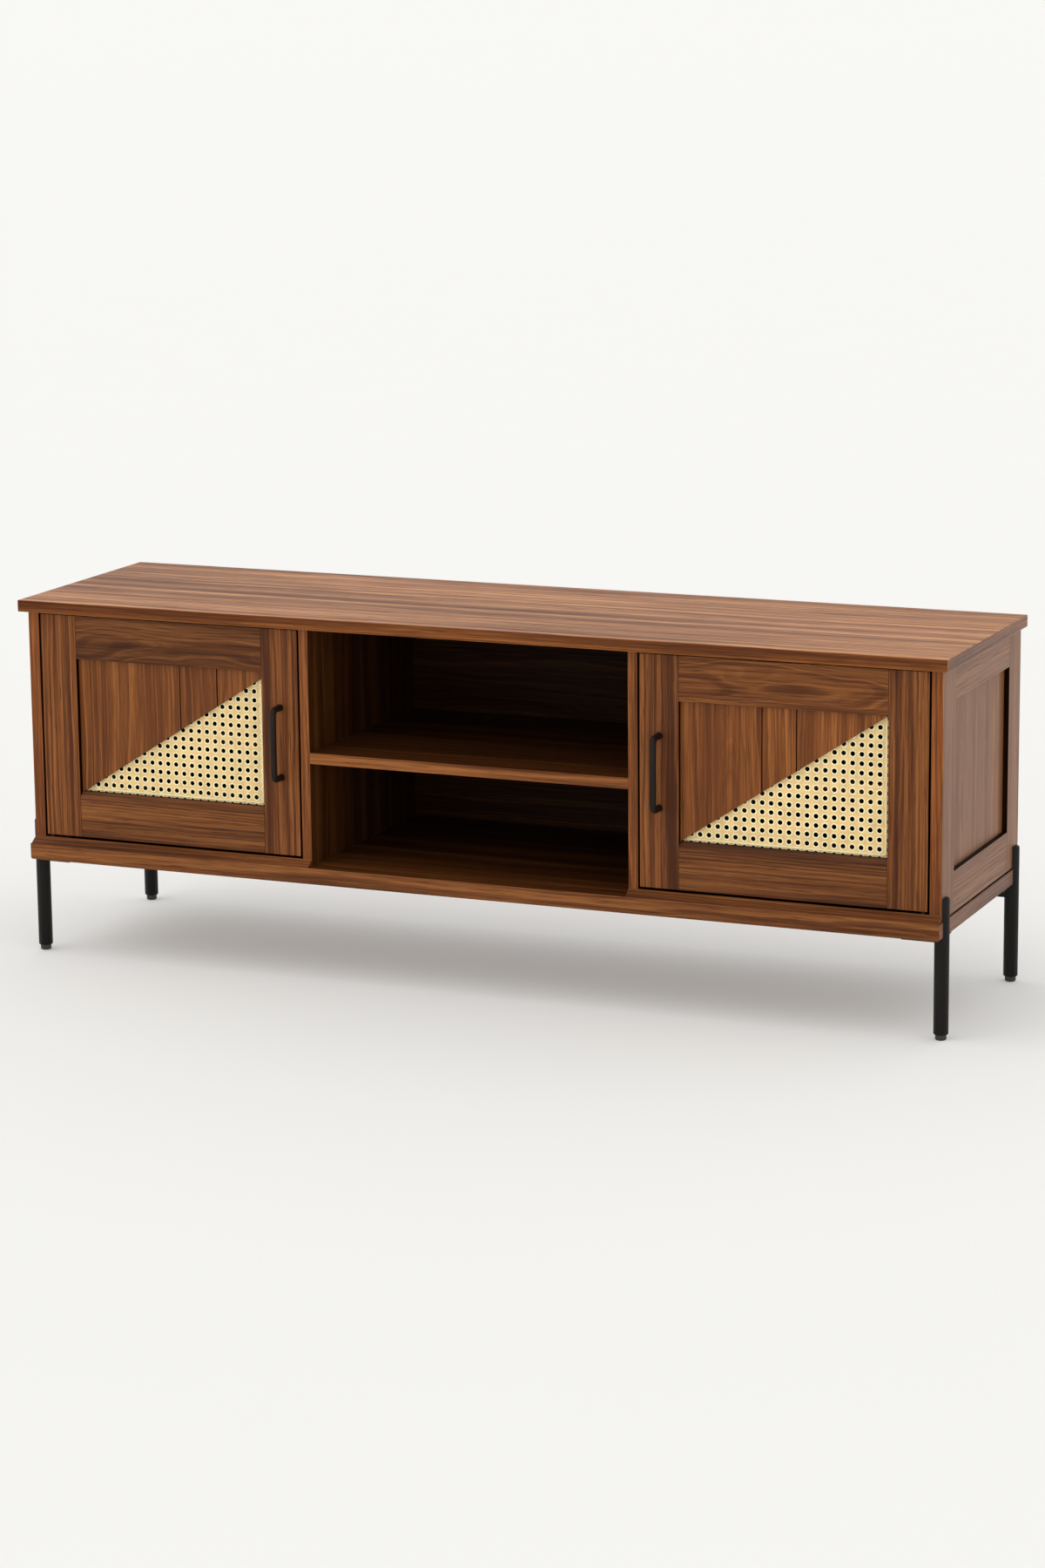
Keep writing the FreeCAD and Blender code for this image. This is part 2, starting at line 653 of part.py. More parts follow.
def build():
    """Every node of the piece by name."""
    parts = {}
    hinge_screw_set = []
    pockets = []
    leg_screws = []
    plates = []
    glides = []
    for side, name in SIDES:
        screws = hinge_screws(side, TOP_UNDER, 1) + hinge_screws(side, SILL_TOP, -1)
        pivots = [case_pivot(side, TOP_UNDER, -1), case_pivot(side, SILL_TOP, 1)]
        parts[f"{name}_case_pivots"] = Part.makeCompound([cut_all(p, screws) for p in pivots])
        parts[f"{name}_catch"] = catch(side)
        hinge_screw_set += screws
        pockets += [hinge_plate(side, TOP_UNDER, 1), hinge_plate(side, SILL_TOP, -1)]
        for place, leg_y, toward in (("front", FRONT_LEG_Y, 1), ("back", BACK_LEG_Y, -1)):
            screws = leg_screw_set(side, leg_y, toward)
            parts[f"{place}_{name}_leg"] = cut_all(leg(side, leg_y, toward), screws)
            leg_screws += screws
            plates.append(leg_plate(side, leg_y, toward))
            glides.append(glide(side, leg_y))

    dowels = upright_dowels() + shelf_dowels()
    pins = shelf_pins()
    panel_screws = back_screws()
    tools = dowels + pins + panel_screws + pockets + hinge_screw_set + leg_screws
    for node, shape in case_wood().items():
        parts[node] = cut_all(shape, [t for t in tools if t.BoundBox.intersect(shape.BoundBox)])

    parts["case_dowels"] = Part.makeCompound(dowels)
    parts["shelf_pins"] = Part.makeCompound(pins)
    parts["back_panel_screws"] = Part.makeCompound(panel_screws)
    parts["case_hinge_screws"] = Part.makeCompound(hinge_screw_set)
    parts["leg_screws"] = Part.makeCompound(leg_screws)
    parts["leg_glides"] = Part.makeCompound(glides)
    parts["rear_stretcher"] = rear_stretcher(plates)
    parts.update(door(LEFT, "left", LEFT_DIAGONAL_START, LEFT_DIAGONAL_DROP, LEFT_GROOVES))
    parts.update(door(RIGHT, "right", RIGHT_DIAGONAL_START, RIGHT_DIAGONAL_DROP, RIGHT_GROOVES))
    return parts


os.makedirs("parts", exist_ok=True)
for node, shape in build().items():
    shape.exportStep(f"parts/{node}.step")
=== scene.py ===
import math

import bmesh
import bpy
from mathutils import Matrix, Vector


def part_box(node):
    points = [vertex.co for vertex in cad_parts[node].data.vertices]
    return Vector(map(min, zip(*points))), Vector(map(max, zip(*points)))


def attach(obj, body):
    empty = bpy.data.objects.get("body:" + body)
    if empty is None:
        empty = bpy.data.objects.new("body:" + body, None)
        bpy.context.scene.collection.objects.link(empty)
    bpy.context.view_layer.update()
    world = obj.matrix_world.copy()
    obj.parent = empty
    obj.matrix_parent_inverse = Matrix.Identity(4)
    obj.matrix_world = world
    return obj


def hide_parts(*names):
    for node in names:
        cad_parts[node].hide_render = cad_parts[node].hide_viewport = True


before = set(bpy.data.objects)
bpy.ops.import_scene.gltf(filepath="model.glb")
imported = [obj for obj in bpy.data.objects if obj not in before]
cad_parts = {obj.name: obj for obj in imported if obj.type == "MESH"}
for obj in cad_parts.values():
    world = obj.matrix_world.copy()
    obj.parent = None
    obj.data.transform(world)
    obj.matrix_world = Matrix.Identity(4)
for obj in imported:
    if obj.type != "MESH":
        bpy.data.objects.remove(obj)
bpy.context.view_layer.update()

bl_info = {
    "name": "Cane door media cabinet",
    "version": (1, 0, 0),
    "blender": (4, 5, 0),
    "location": "3D View > Sidebar > Cabinet",
    "description": "Builds the walnut cabinet, its cane doors and its steel legs, piece by piece",
    "category": "Add Mesh",
}

# Metres. +X runs right along the front, +Y to the back, +Z up.
SIDES = (("left", -1), ("right", 1))

# Two places nearer than this are the same, corners nearer than WELD are joined, and a cut
# takes corners nearer than CUT as lying on it.
HERE = 1e-5
WELD = 2e-6
CUT = 1e-7

# The turn that lays a board's grain along X, the way the walnut is drawn.
ALONG_X = (0.0, 0.0, 0.0)
ALONG_Y = (0.0, 0.0, math.radians(-90))
ALONG_Z = (0.0, math.radians(90), 0.0)

# How far a face is turned along an axis: square on, mostly, or only a little.
SQUARE_ON = 0.9
MOSTLY = 0.6
SLIGHTLY = 0.3

# Widths of the eased edges that aren't the boards' own.
DOOR_EASE = 0.0009
STRETCHER_EASE = 0.0012
TONGUE_EASE = 0.0025
STRIP_EASE = 0.0004

# Where each colour of the walnut lies along its figure, and how dark its pores are.
FIGURE_STOPS = (0.435, 0.495, 0.545, 0.625)
PORE_DARKNESS = 0.7

# How glossy each finish is, where 0.5 is a plain varnish.
FRONT_GLOSS = 0.15
EDGE_GLOSS = 0.12
TOP_GLOSS = 0.09
END_GLOSS = 0.40
FRAME_END_GLOSS = 0.48
COAT_GLOSS = 0.16
FLOOR_GLOSS = 0.10
DULL_GLOSS = 0.05
GAP_GLOSS = 0.04

# The cane: how the ring round a hole rises, as shares of the way in and of its height.
RING_SIDES = 12
RING_STEPS = ((0.18, 1.0), (0.70, 1.0), (1.0, 0.0))
# How far the sheet runs on under the wood panel.
CANE_TUCK = 0.004
# How far the last column stands in from the field's right edge and the first row above its lower
# edge, in hole spacings, and how far the diagonal starts in and ends down.
CANE_LAYOUT = {"left": (1.42, 0.83, 0.003, 0.009), "right": (1.17, 0.83, 0.0, 0.0)}
# The edge strips: how far the upright one stands in, where the lower one starts, how high it
# lies, how thick both are and how far their middle stands proud.
STRIP_IN = {"left": 0.0085, "right": 0.0070}
STRIP_START = 0.008
STRIP_UP = 0.0024
STRIP_THICK = 0.0012
STRIP_PROUD = 0.0001

# The handles: sides of the bar, steps of a bend, and the collar against the door.
BAR_SIDES = 28
BEND_STEPS = 8
COLLAR_LONG = 0.0025
COLLAR_GROW = 1.16

# The camera: its place, its turn in degrees and its lens in millimetres.
CAMERA_PLACE = (2.42080, -5.62407, 1.60488)
CAMERA_TURN = (77.8659, 0.5571, 23.0409)
CAMERA_LENS = 93.82


class CabinetWood(bpy.types.PropertyGroup):
    """Colours of the walnut, sizes of its eased edges."""

    dark: bpy.props.FloatVectorProperty(
        name="Dark grain",
        description="Colour of the darkest growth lines",
        default=(0.044, 0.0110, 0.0024),
        subtype="COLOR",
        size=3,
    )
    middle: bpy.props.FloatVectorProperty(
        name="Middle brown",
        description="Colour of most of the walnut",
        default=(0.150, 0.0460, 0.0096),
        subtype="COLOR",
        size=3,
    )
    light: bpy.props.FloatVectorProperty(
        name="Light grain",
        description="Colour of the palest growth bands",
        default=(0.285, 0.1030, 0.0270),
        subtype="COLOR",
        size=3,
    )
    # The backing board colour is painted shade: near black, as seen through the cane holes.
    board: bpy.props.FloatVectorProperty(
        name="Backing board",
        description="Colour of the thin boards behind the case and the cane",
        default=(0.0045, 0.0024, 0.0014),
        subtype="COLOR",
        size=3,
    )
    ease: bpy.props.FloatProperty(
        name="Eased edge",
        description="Width of the small bevel along the edges of the boards",
        default=0.0006,
        unit="LENGTH",
    )
    top_ease: bpy.props.FloatProperty(
        name="Top edge",
        description="Width of the bevel along the edges of the top",
        default=0.0012,
        unit="LENGTH",
    )


class CabinetCane(bpy.types.PropertyGroup):
    """Sizes and colours of the cane sheet in the doors."""

    pitch: bpy.props.FloatProperty(
        name="Hole spacing",
        description="Distance between the middles of two holes",
        default=0.01375,
        unit="LENGTH",
    )
    hole: bpy.props.FloatProperty(
        name="Hole radius",
        description="Radius of one hole",
        default=0.0036,
        unit="LENGTH",
    )
    ring: bpy.props.FloatProperty(
        name="Ring radius",
        description="Outer radius of the raised ring round a hole",
        default=0.0056,
        unit="LENGTH",
    )
    ring_rise: bpy.props.FloatProperty(
        name="Ring rise",
        description="How far a ring stands up from the sheet",
        default=0.0005,
        unit="LENGTH",
    )
    strip: bpy.props.FloatProperty(
        name="Edge strip",
        description="Width of the pale strip along the lower and right edges",
        default=0.0021,
        unit="LENGTH",
    )
    thick: bpy.props.FloatProperty(
        name="Sheet thickness",
        description="Thickness of the sheet",
        default=0.0009,
        unit="LENGTH",
    )
    ground: bpy.props.FloatVectorProperty(
        name="Ground",
        description="Colour of the woven sheet between the rings",
        default=(0.80, 0.555, 0.235),
        subtype="COLOR",
        size=3,
    )
    binding: bpy.props.FloatVectorProperty(
        name="Ring colour",
        description="Colour of the rings and the edge strip",
        default=(0.95, 0.84, 0.50),
        subtype="COLOR",
        size=3,
    )


class CabinetMetal(bpy.types.PropertyGroup):
    """Colours of the metal pieces."""

    leg: bpy.props.FloatVectorProperty(
        name="Leg coat",
        description="Colour of the powder coat on the legs",
        default=(0.0050, 0.0044, 0.0040),
        subtype="COLOR",
        size=3,
    )
    handle: bpy.props.FloatVectorProperty(
        name="Handle coat",
        description="Colour of the handles",
        default=(0.0100, 0.0052, 0.0034),
        subtype="COLOR",
        size=3,
    )
    zinc: bpy.props.FloatVectorProperty(
        name="Zinc",
        description="Colour of the screws and hinge plates",
        default=(0.52, 0.52, 0.50),
        subtype="COLOR",
        size=3,
    )


class CabinetStage(bpy.types.PropertyGroup):
    """The floor and the light round the cabinet."""

    floor: bpy.props.FloatVectorProperty(
        name="Floor",
        description="Colour of the studio floor",
        default=(0.735, 0.750, 0.745),
        subtype="COLOR",
        size=3,
    )
    glow: bpy.props.FloatProperty(
        name="Floor glow",
        description="Light from the floor itself, which keeps the shadow under the case pale",
        default=0.18,
    )
    horizon: bpy.props.FloatProperty(
        name="Horizon",
        description="Strength of the light from low down all round",
        default=2.0,
    )
    zenith: bpy.props.FloatProperty(
        name="Overhead",
        description="Strength of the light from above",
        default=0.78,
    )
    key: bpy.props.FloatProperty(
        name="Key light",
        description="Strength of the wide light from the front left",
        default=0.50,
    )
    key_spread: bpy.props.FloatProperty(
        name="Key light spread",
        description="How wide the key light is, which softens its shadows",
        default=math.radians(50),
        subtype="ANGLE",
    )


# ---------------------------------------------------------------- selecting and shaping


def deselect():
    """Leaves edit mode and deselects every object."""
    if bpy.context.mode != "OBJECT":
        bpy.ops.object.mode_set(mode="OBJECT")
    bpy.ops.object.select_all(action="DESELECT")


def focus(piece):
    """Makes one piece the only selected and active object."""
    deselect()
    piece.select_set(True)
    bpy.context.view_layer.objects.active = piece


def edit(piece, kind="EDGE"):
    """Opens a piece in edit mode with nothing selected."""
    focus(piece)
    bpy.ops.object.mode_set(mode="EDIT")
    bpy.ops.mesh.select_mode(type=kind)
    bpy.ops.mesh.select_all(action="DESELECT")


def pick(piece, parts, wanted):
    """Selects, in edit mode, the vertices, edges or faces that pass a test."""
    mesh = bmesh.from_edit_mesh(piece.data)
    for part in getattr(mesh, parts):
        part.select_set(bool(wanted(part)))
    bmesh.update_edit_mesh(piece.data)


def settle(piece):
    """Leaves edit mode with the piece's place and size held by its mesh."""
    focus(piece)
    bpy.ops.object.transform_apply(location=True, rotation=True, scale=True)


def merged_copy(node, name):
    """A new piece in the shape of a frame node, its loose triangles joined to whole faces."""
    piece = bpy.data.objects.new(name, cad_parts[node].data.copy())
    piece.data.name = name
    piece.data.materials.clear()
    bpy.context.scene.collection.objects.link(piece)
    edit(piece, "VERT")
    bpy.ops.mesh.select_all(action="SELECT")
    bpy.ops.mesh.remove_doubles(threshold=WELD)
    bpy.ops.mesh.dissolve_limited(angle_limit=math.radians(1))
    deselect()
    return piece


def on_arris(edge, low, high):
    """True for an edge that lies along one of the twelve edges of a box."""
    ends = [v.co for v in edge.verts]
    run = ends[1] - ends[0]
    axis = max(range(3), key=lambda i: abs(run[i]))
    if run.length < 10 * HERE or abs(run[axis]) < run.length - HERE:
        return False
    return all(
        any(abs(ends[0][i] - limit[i]) < HERE for limit in (low, high))
        for i in range(3)
        if i != axis
    )


def ease(piece, width, steps=2):
    """Bevels the outer edges of a squared piece."""
    corners = [Vector(c) for c in piece.bound_box]
    low = Vector([min(c[i] for c in corners) for i in range(3)])
    high = Vector([max(c[i] for c in corners) for i in range(3)])
    edit(piece)
    pick(piece, "edges", lambda e: on_arris(e, low, high))
    bpy.ops.mesh.bevel(offset=width, segments=steps, affect="EDGES", clamp_overlap=False)
    deselect()


def finish_piece(piece, body, node, paint=None, smooth=None):
    """Gives a piece its material and its body, and hides the frame node it stands for."""
    focus(piece)
    if smooth is not None:
        bpy.ops.object.shade_smooth_by_angle(angle=math.radians(smooth))
    if paint is not None:
        piece.data.materials.clear()
        piece.data.materials.append(paint)
    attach(piece, body)
    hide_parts(node)
    deselect()


def paint_faces(piece, paint, wanted):
    """Gives the faces of a piece that pass a test a further material."""
    piece.data.materials.append(paint)
    for face in piece.data.polygons:
        if wanted(face):
            face.material_index = len(piece.data.materials) - 1


def looks_back(face):
    """True for a face that looks square to the back."""
    return face.normal.y > SQUARE_ON


# ---------------------------------------------------------------- materials


class Shade:
    """Builds the nodes of one material or node group."""

    def __init__(self, tree):
        self.tree = tree
        self.column = 0

    def add(self, kind, **settings):
        """A new node, laid out to the right of the last one."""
        made = self.tree.nodes.new(kind)
        self.column += 1
        made.location = (180 * self.column, -40 * (self.column % 5))
        for key, value in settings.items():
            setattr(made, key, value)
        return made

    def plug(self, socket, value):
        """Links a node's output to a socket, or sets the socket to a plain value."""
        if isinstance(value, bpy.types.NodeSocket):
            self.tree.links.new(value, socket)
        else:
            socket.default_value = value

    def math(self, operation, a, b):
        """One sum of two values."""
        made = self.add("ShaderNodeMath", operation=operation)
        self.plug(made.inputs[0], a)
        self.plug(made.inputs[1], b)
        return made.outputs[0]

    def stretch(self, vector, scale):
        """A place scaled along each axis, so that a pattern on it is drawn out."""
        made = self.add("ShaderNodeVectorMath", operation="MULTIPLY")
        self.plug(made.inputs[0], vector)
        made.inputs[1].default_value = scale
        return made.outputs[0]

    def noise(self, vector, scale=1.0, detail=2.0, roughness=0.5, dimensions="3D"):
        """Noise over a place, or along one length with dimensions 1D."""
        made = self.add("ShaderNodeTexNoise", noise_dimensions=dimensions)
        self.plug(made.inputs["W" if dimensions == "1D" else "Vector"], vector)
        made.inputs["Scale"].default_value = scale
        made.inputs["Detail"].default_value = detail
        made.inputs["Roughness"].default_value = roughness
        return made.outputs["Fac"]

    def spread(self, value, low, high, to_low=0.0, to_high=1.0):
        """A value eased from one range into another."""
        made = self.add("ShaderNodeMapRange", interpolation_type="SMOOTHSTEP")
        self.plug(made.inputs["Value"], value)
        for key, number in (
            ("From Min", low),
            ("From Max", high),
            ("To Min", to_low),
            ("To Max", to_high),
        ):
            made.inputs[key].default_value = number
        return made.outputs["Result"]

    def mix(self, share, a, b):
        """A share of colour b over colour a."""
        made = self.add("ShaderNodeMix", data_type="RGBA")
        self.plug(made.inputs["Factor"], share)
        self.plug(made.inputs["A"], a)
        self.plug(made.inputs["B"], b)
        return made.outputs["Result"]

    def ramp(self, share, stops):
        """A colour picked along a row of (place, colour) stops."""
        made = self.add("ShaderNodeValToRGB")
        made.color_ramp.interpolation = "B_SPLINE"
        while len(made.color_ramp.elements) < len(stops):
            made.color_ramp.elements.new(0.5)
        for element, (at, colour) in zip(made.color_ramp.elements, stops):
            element.position = at
            element.color = (*colour, 1.0)
        self.plug(made.inputs["Fac"], share)
        return made.outputs["Color"]


def walnut_figure():
    """The node group that draws walnut: growth bands, fibre, pores and broad tone."""
    group = bpy.data.node_groups.new("walnut_figure", "ShaderNodeTree")
    face = group.interface
    face.new_socket("Place", in_out="INPUT", socket_type="NodeSocketVector")
    face.new_socket("Wave", in_out="INPUT", socket_type="NodeSocketFloat")
    face.new_socket("Figure", in_out="OUTPUT", socket_type="NodeSocketFloat")
    face.new_socket("Pores", in_out="OUTPUT", socket_type="NodeSocketFloat")
    face.new_socket("Fibre", in_out="OUTPUT", socket_type="NodeSocketFloat")
    s = Shade(group)
    given = s.add("NodeGroupInput")
    place, wave = given.outputs["Place"], given.outputs["Wave"]

    # Distance from the heart of the tree, pushed in and out along the board.
    across = s.stretch(place, (0.0, 1.0, 1.0))
    distance = s.add("ShaderNodeVectorMath", operation="LENGTH")
    s.plug(distance.inputs[0], across)
    swell = s.math("SUBTRACT", s.noise(s.stretch(place, (2.6, 9.0, 9.0)), 1.0, 2.0, 0.45), 0.5)
    swell = s.math("MULTIPLY", swell, wave)
    ripple = s.math("SUBTRACT", s.noise(s.stretch(place, (11.0, 30.0, 30.0)), 1.0, 2.0, 0.5), 0.5)
    ripple = s.math("MULTIPLY", ripple, 0.0035)
    radius = s.math("ADD", s.math("ADD", distance.outputs["Value"], swell), ripple)

    bands = s.noise(radius, 40.0, 5.0, 0.72, "1D")
    lines = s.noise(radius, 300.0, 3.0, 0.65, "1D")
    fibre = s.noise(s.stretch(place, (4.5, 260.0, 260.0)), 1.0, 4.0, 0.66)
    broad = s.noise(s.stretch(place, (1.3, 15.0, 15.0)), 1.0, 2.0, 0.5)
    pores = s.noise(s.stretch(place, (17.0, 560.0, 560.0)), 1.0, 2.0, 0.6)

    figure = s.math("MULTIPLY", bands, 0.36)
    figure = s.math("ADD", figure, s.math("MULTIPLY", lines, 0.18))
    figure = s.math("ADD", figure, s.math("MULTIPLY", fibre, 0.30))
    figure = s.math("ADD", figure, s.math("MULTIPLY", broad, 0.22))
    pitted = s.spread(pores, 0.53, 0.72)

    out = s.add("NodeGroupOutput")
    s.plug(out.inputs["Figure"], figure)
    s.plug(out.inputs["Pores"], pitted)
    s.plug(out.inputs["Fibre"], fibre)
    return group


def new_material(name, rgb):
    """A new material with its viewport colour, the maker of its nodes and its shader."""
    made = bpy.data.materials.new(name)
    made.use_nodes = True
    made.diffuse_color = (*rgb, 1.0)
    shader = made.node_tree.nodes["Principled BSDF"]
    return made, Shade(made.node_tree), shader


def object_place(s, turn=(0, 0, 0), move=(0, 0, 0)):
    """Object coordinates, turned and moved for one piece."""
    coords = s.add("ShaderNodeTexCoord")
    mapping = s.add("ShaderNodeMapping")
    s.plug(mapping.inputs["Vector"], coords.outputs["Object"])
    mapping.inputs["Rotation"].default_value = turn
    mapping.inputs["Location"].default_value = move
    return mapping.outputs["Vector"]


def bump(s, shader, height, distance):
    """Raises the surface by a height from 0 to 1."""
    made = s.add("ShaderNodeBump")
    made.inputs["Strength"].default_value = 1.0
    made.inputs["Distance"].default_value = distance
    s.plug(made.inputs["Height"], height)
    s.plug(shader.inputs["Normal"], made.outputs["Normal"])


def walnut(name, turn, heart, wave, gain=1.0, gloss=FRONT_GLOSS, soft=0.0, gold=0.0, shade_depth=None):
    """Walnut cut from its own place in the log.

    turn is the way its grain runs, heart moves it along and across the log, and wave is how far
    its growth bands wander. gain lightens or darkens it as a whole, soft draws the grain together
    towards the middle brown, gold makes it yellower, and the last argument gives the places along
    Y between which it darkens, a painted shade that deepens towards the back.
    """
    if name in bpy.data.materials:
        return bpy.data.materials[name]
    group = bpy.data.node_groups.get("walnut_figure") or walnut_figure()
    wood = bpy.context.scene.cabinet_wood
    made, s, shader = new_material(name, wood.middle)
    figure = s.add("ShaderNodeGroup", node_tree=group)
    s.plug(figure.inputs["Place"], object_place(s, turn, heart))
    figure.inputs["Wave"].default_value = wave

    def tint(rgb):
        red, green, blue = (gain * (c + soft * (m - c)) for c, m in zip(rgb, wood.middle))
        return min(1.0, red), min(1.0, (1 + gold) * green), min(1.0, blue)

    between = tuple(0.5 * (d + m) for d, m in zip(wood.dark, wood.middle))
    colours = [tint(rgb) for rgb in (wood.dark, between, wood.middle, wood.light)]
    colour = s.ramp(figure.outputs["Figure"], tuple(zip(FIGURE_STOPS, colours)))
    pores = figure.outputs["Pores"]
    colour = s.mix(s.math("MULTIPLY", pores, PORE_DARKNESS), colour, (*colours[0], 1.0))
    # Painted shade: the colour falls from full to about a third between the two places along Y.
    if shade_depth is not None:
        split = s.add("ShaderNodeSeparateXYZ")
        s.plug(split.inputs["Vector"], object_place(s))
        scaled = s.add("ShaderNodeVectorMath", operation="SCALE")
        s.plug(scaled.inputs["Vector"], colour)
        s.plug(scaled.inputs["Scale"], s.spread(split.outputs["Y"], *shade_depth, 1.0, 0.35))
        colour = scaled.outputs["Vector"]
    rough = s.spread(figure.outputs["Figure"], 0.42, 0.65, 0.50, 0.40)
    rough = s.math("ADD", rough, s.math("MULTIPLY", pores, 0.12))
    fibre = s.math("MULTIPLY", figure.outputs["Fibre"], 0.5)
    s.plug(shader.inputs["Base Color"], colour)
    s.plug(shader.inputs["Roughness"], rough)
    shader.inputs["Specular IOR Level"].default_value = gloss
    height = s.math("SUBTRACT", fibre, s.math("MULTIPLY", pores, PORE_DARKNESS))
    bump(s, shader, height, 0.00012)
    return made


def backer_shade_paint():
    """Backing board with a faint pressed fibre, painted near black as the shade seen through the cane
    holes.
    """
    name = "backing_board"
    if name in bpy.data.materials:
        return bpy.data.materials[name]
    rgb = tuple(bpy.context.scene.cabinet_wood.board)
    made, s, shader = new_material(name, rgb)
    place = object_place(s)
    streak = s.noise(s.stretch(place, (7.0, 120.0, 120.0)), 1.0, 4.0, 0.6)
    speck = s.noise(place, 900.0, 2.0, 0.6)
    share = s.math("ADD", s.math("MULTIPLY", streak, 0.7), s.math("MULTIPLY", speck, 0.3))
    dark = tuple(0.55 * c for c in rgb)
    pale = tuple(1.5 * c for c in rgb)
    s.plug(shader.inputs["Base Color"], s.ramp(share, ((0.35, dark), (0.5, rgb), (0.66, pale))))
    s.plug(shader.inputs["Roughness"], s.spread(speck, 0.3, 0.7, 0.82, 0.95))
    shader.inputs["Specular IOR Level"].default_value = DULL_GLOSS
    bump(s, shader, speck, 0.0001)
    return made


def cane_paint(name, rgb, fibre_share):
    """Dry cane: fine split fibres across and along, a little tone from strand to strand."""
    if name in bpy.data.materials:
        return bpy.data.materials[name]
    made, s, shader = new_material(name, rgb)
    place = object_place(s)
    flat = s.noise(s.stretch(place, (160.0, 160.0, 2200.0)), 1.0, 2.0, 0.6)
    upright = s.noise(s.stretch(place, (2200.0, 160.0, 160.0)), 1.0, 2.0, 0.6)
    patch = s.noise(place, 70.0, 3.0, 0.55)
    fibre = s.math("MULTIPLY", s.math("ADD", flat, upright), 0.5)
    share = s.math("ADD", s.math("MULTIPLY", fibre, 0.6), s.math("MULTIPLY", patch, 0.4))
    dark = tuple(c * (1 - fibre_share) for c in rgb)
    pale = tuple(min(1.0, c * (1 + 0.5 * fibre_share)) for c in rgb)
    s.plug(shader.inputs["Base Color"], s.ramp(share, ((0.36, dark), (0.5, rgb), (0.62, pale))))
    s.plug(shader.inputs["Roughness"], s.spread(fibre, 0.35, 0.65, 0.62, 0.46))
    bump(s, shader, fibre, 0.0002)
    return made


def coat_paint(name, rgb, grain, rough):
    """Sprayed coat or plastic: fine orange peel and slightly rubbed tone."""
    if name in bpy.data.materials:
        return bpy.data.materials[name]
    made, s, shader = new_material(name, rgb)
    place = object_place(s)
    peel = s.noise(place, grain, 2.0, 0.5)
    patch = s.noise(place, 45.0, 3.0, 0.6)
    rubbed = tuple(min(1.0, 1.45 * c) for c in rgb)
    share = s.spread(patch, 0.38, 0.66)
    s.plug(shader.inputs["Base Color"], s.mix(share, (*rgb, 1.0), (*rubbed, 1.0)))
    s.plug(shader.inputs["Roughness"], s.spread(patch, 0.3, 0.7, rough - 0.05, rough + 0.07))
    shader.inputs["Specular IOR Level"].default_value = COAT_GLOSS
    bump(s, shader, peel, 0.00008)
    return made


def zinc_paint():
    """Zinc plate with fine drawn scratches and dull spots."""
    name = "zinc_plate"
    if name in bpy.data.materials:
        return bpy.data.materials[name]
    rgb = tuple(bpy.context.scene.cabinet_metal.zinc)
    made, s, shader = new_material(name, rgb)
    place = object_place(s)
    drawn = s.noise(s.stretch(place, (60.0, 900.0, 900.0)), 1.0, 3.0, 0.6)
    dull = s.noise(place, 160.0, 3.0, 0.6)
    dark = tuple(0.78 * c for c in rgb)
    s.plug(shader.inputs["Base Color"], s.mix(dull, (*dark, 1.0), (*rgb, 1.0)))
    s.plug(shader.inputs["Roughness"], s.spread(drawn, 0.3, 0.7, 0.28, 0.46))
    shader.inputs["Metallic"].default_value = 1.0
    bump(s, shader, drawn, 0.00003)
    return made


def pale_wood_paint():
    """Pale beech for the dowels."""
    name = "dowel_beech"
    if name in bpy.data.materials:
        return bpy.data.materials[name]
    rgb = (0.56, 0.36, 0.19)
    made, s, shader = new_material(name, rgb)
    place = object_place(s)
    fibre = s.noise(s.stretch(place, (500.0, 500.0, 30.0)), 1.0, 3.0, 0.6)
    dark = tuple(0.72 * c for c in rgb)
    s.plug(shader.inputs["Base Color"], s.ramp(fibre, ((0.35, dark), (0.6, rgb))))
    s.plug(shader.inputs["Roughness"], s.spread(fibre, 0.3, 0.7, 0.55, 0.7))
    bump(s, shader, fibre, 0.0001)
    return made


# ---------------------------------------------------------------- boards


def turned(stem, turn):
    """The name of a walnut by the way its grain runs."""
    return stem + {ALONG_X: "_along_x", ALONG_Y: "_along_y", ALONG_Z: "_along_z"}[turn]


def inside_walnut(turn):
    """Painted shade for the faces that look into the case: the walnut darkened, darkest at the back.
    """
    name = turned("inside_walnut", turn)
    gain = 0.42 if turn == ALONG_Z else 0.64
    return walnut(name, turn, (1.7, 0.31, -0.37), 0.03, gain, EDGE_GLOSS, shade_depth=(-0.16, 0.16))


def gap_walnut(turn):
    """Painted shade for the narrow faces in the gaps round the doors: the walnut darkened nearly to
    black.
    """
    name = turned("gap_walnut", turn)
    return walnut(name, turn, (1.2, 0.27, -0.31), 0.02, 0.07, GAP_GLOSS)


def board(node, body, paint, width=None, steps=2, others=(), cut_y=None):
    """One wooden member with its edges eased.

    others are (material, test of a face) pairs, the later ones over the earlier, and cut_y
    divides the faces there, so that a test can tell the two parts apart.
    """
    piece = merged_copy(node, f"{node}_wood")
    ease(piece, width or bpy.context.scene.cabinet_wood.ease, steps)
    if cut_y is not None:
        edit(piece, "FACE")
        bpy.ops.mesh.select_all(action="SELECT")
        bpy.ops.mesh.bisect(plane_co=(0, cut_y, 0), plane_no=(0, 1, 0), threshold=CUT)
        deselect()
    finish_piece(piece, body, node, paint)
    for other, wanted in others:
        paint_faces(piece, other, wanted)


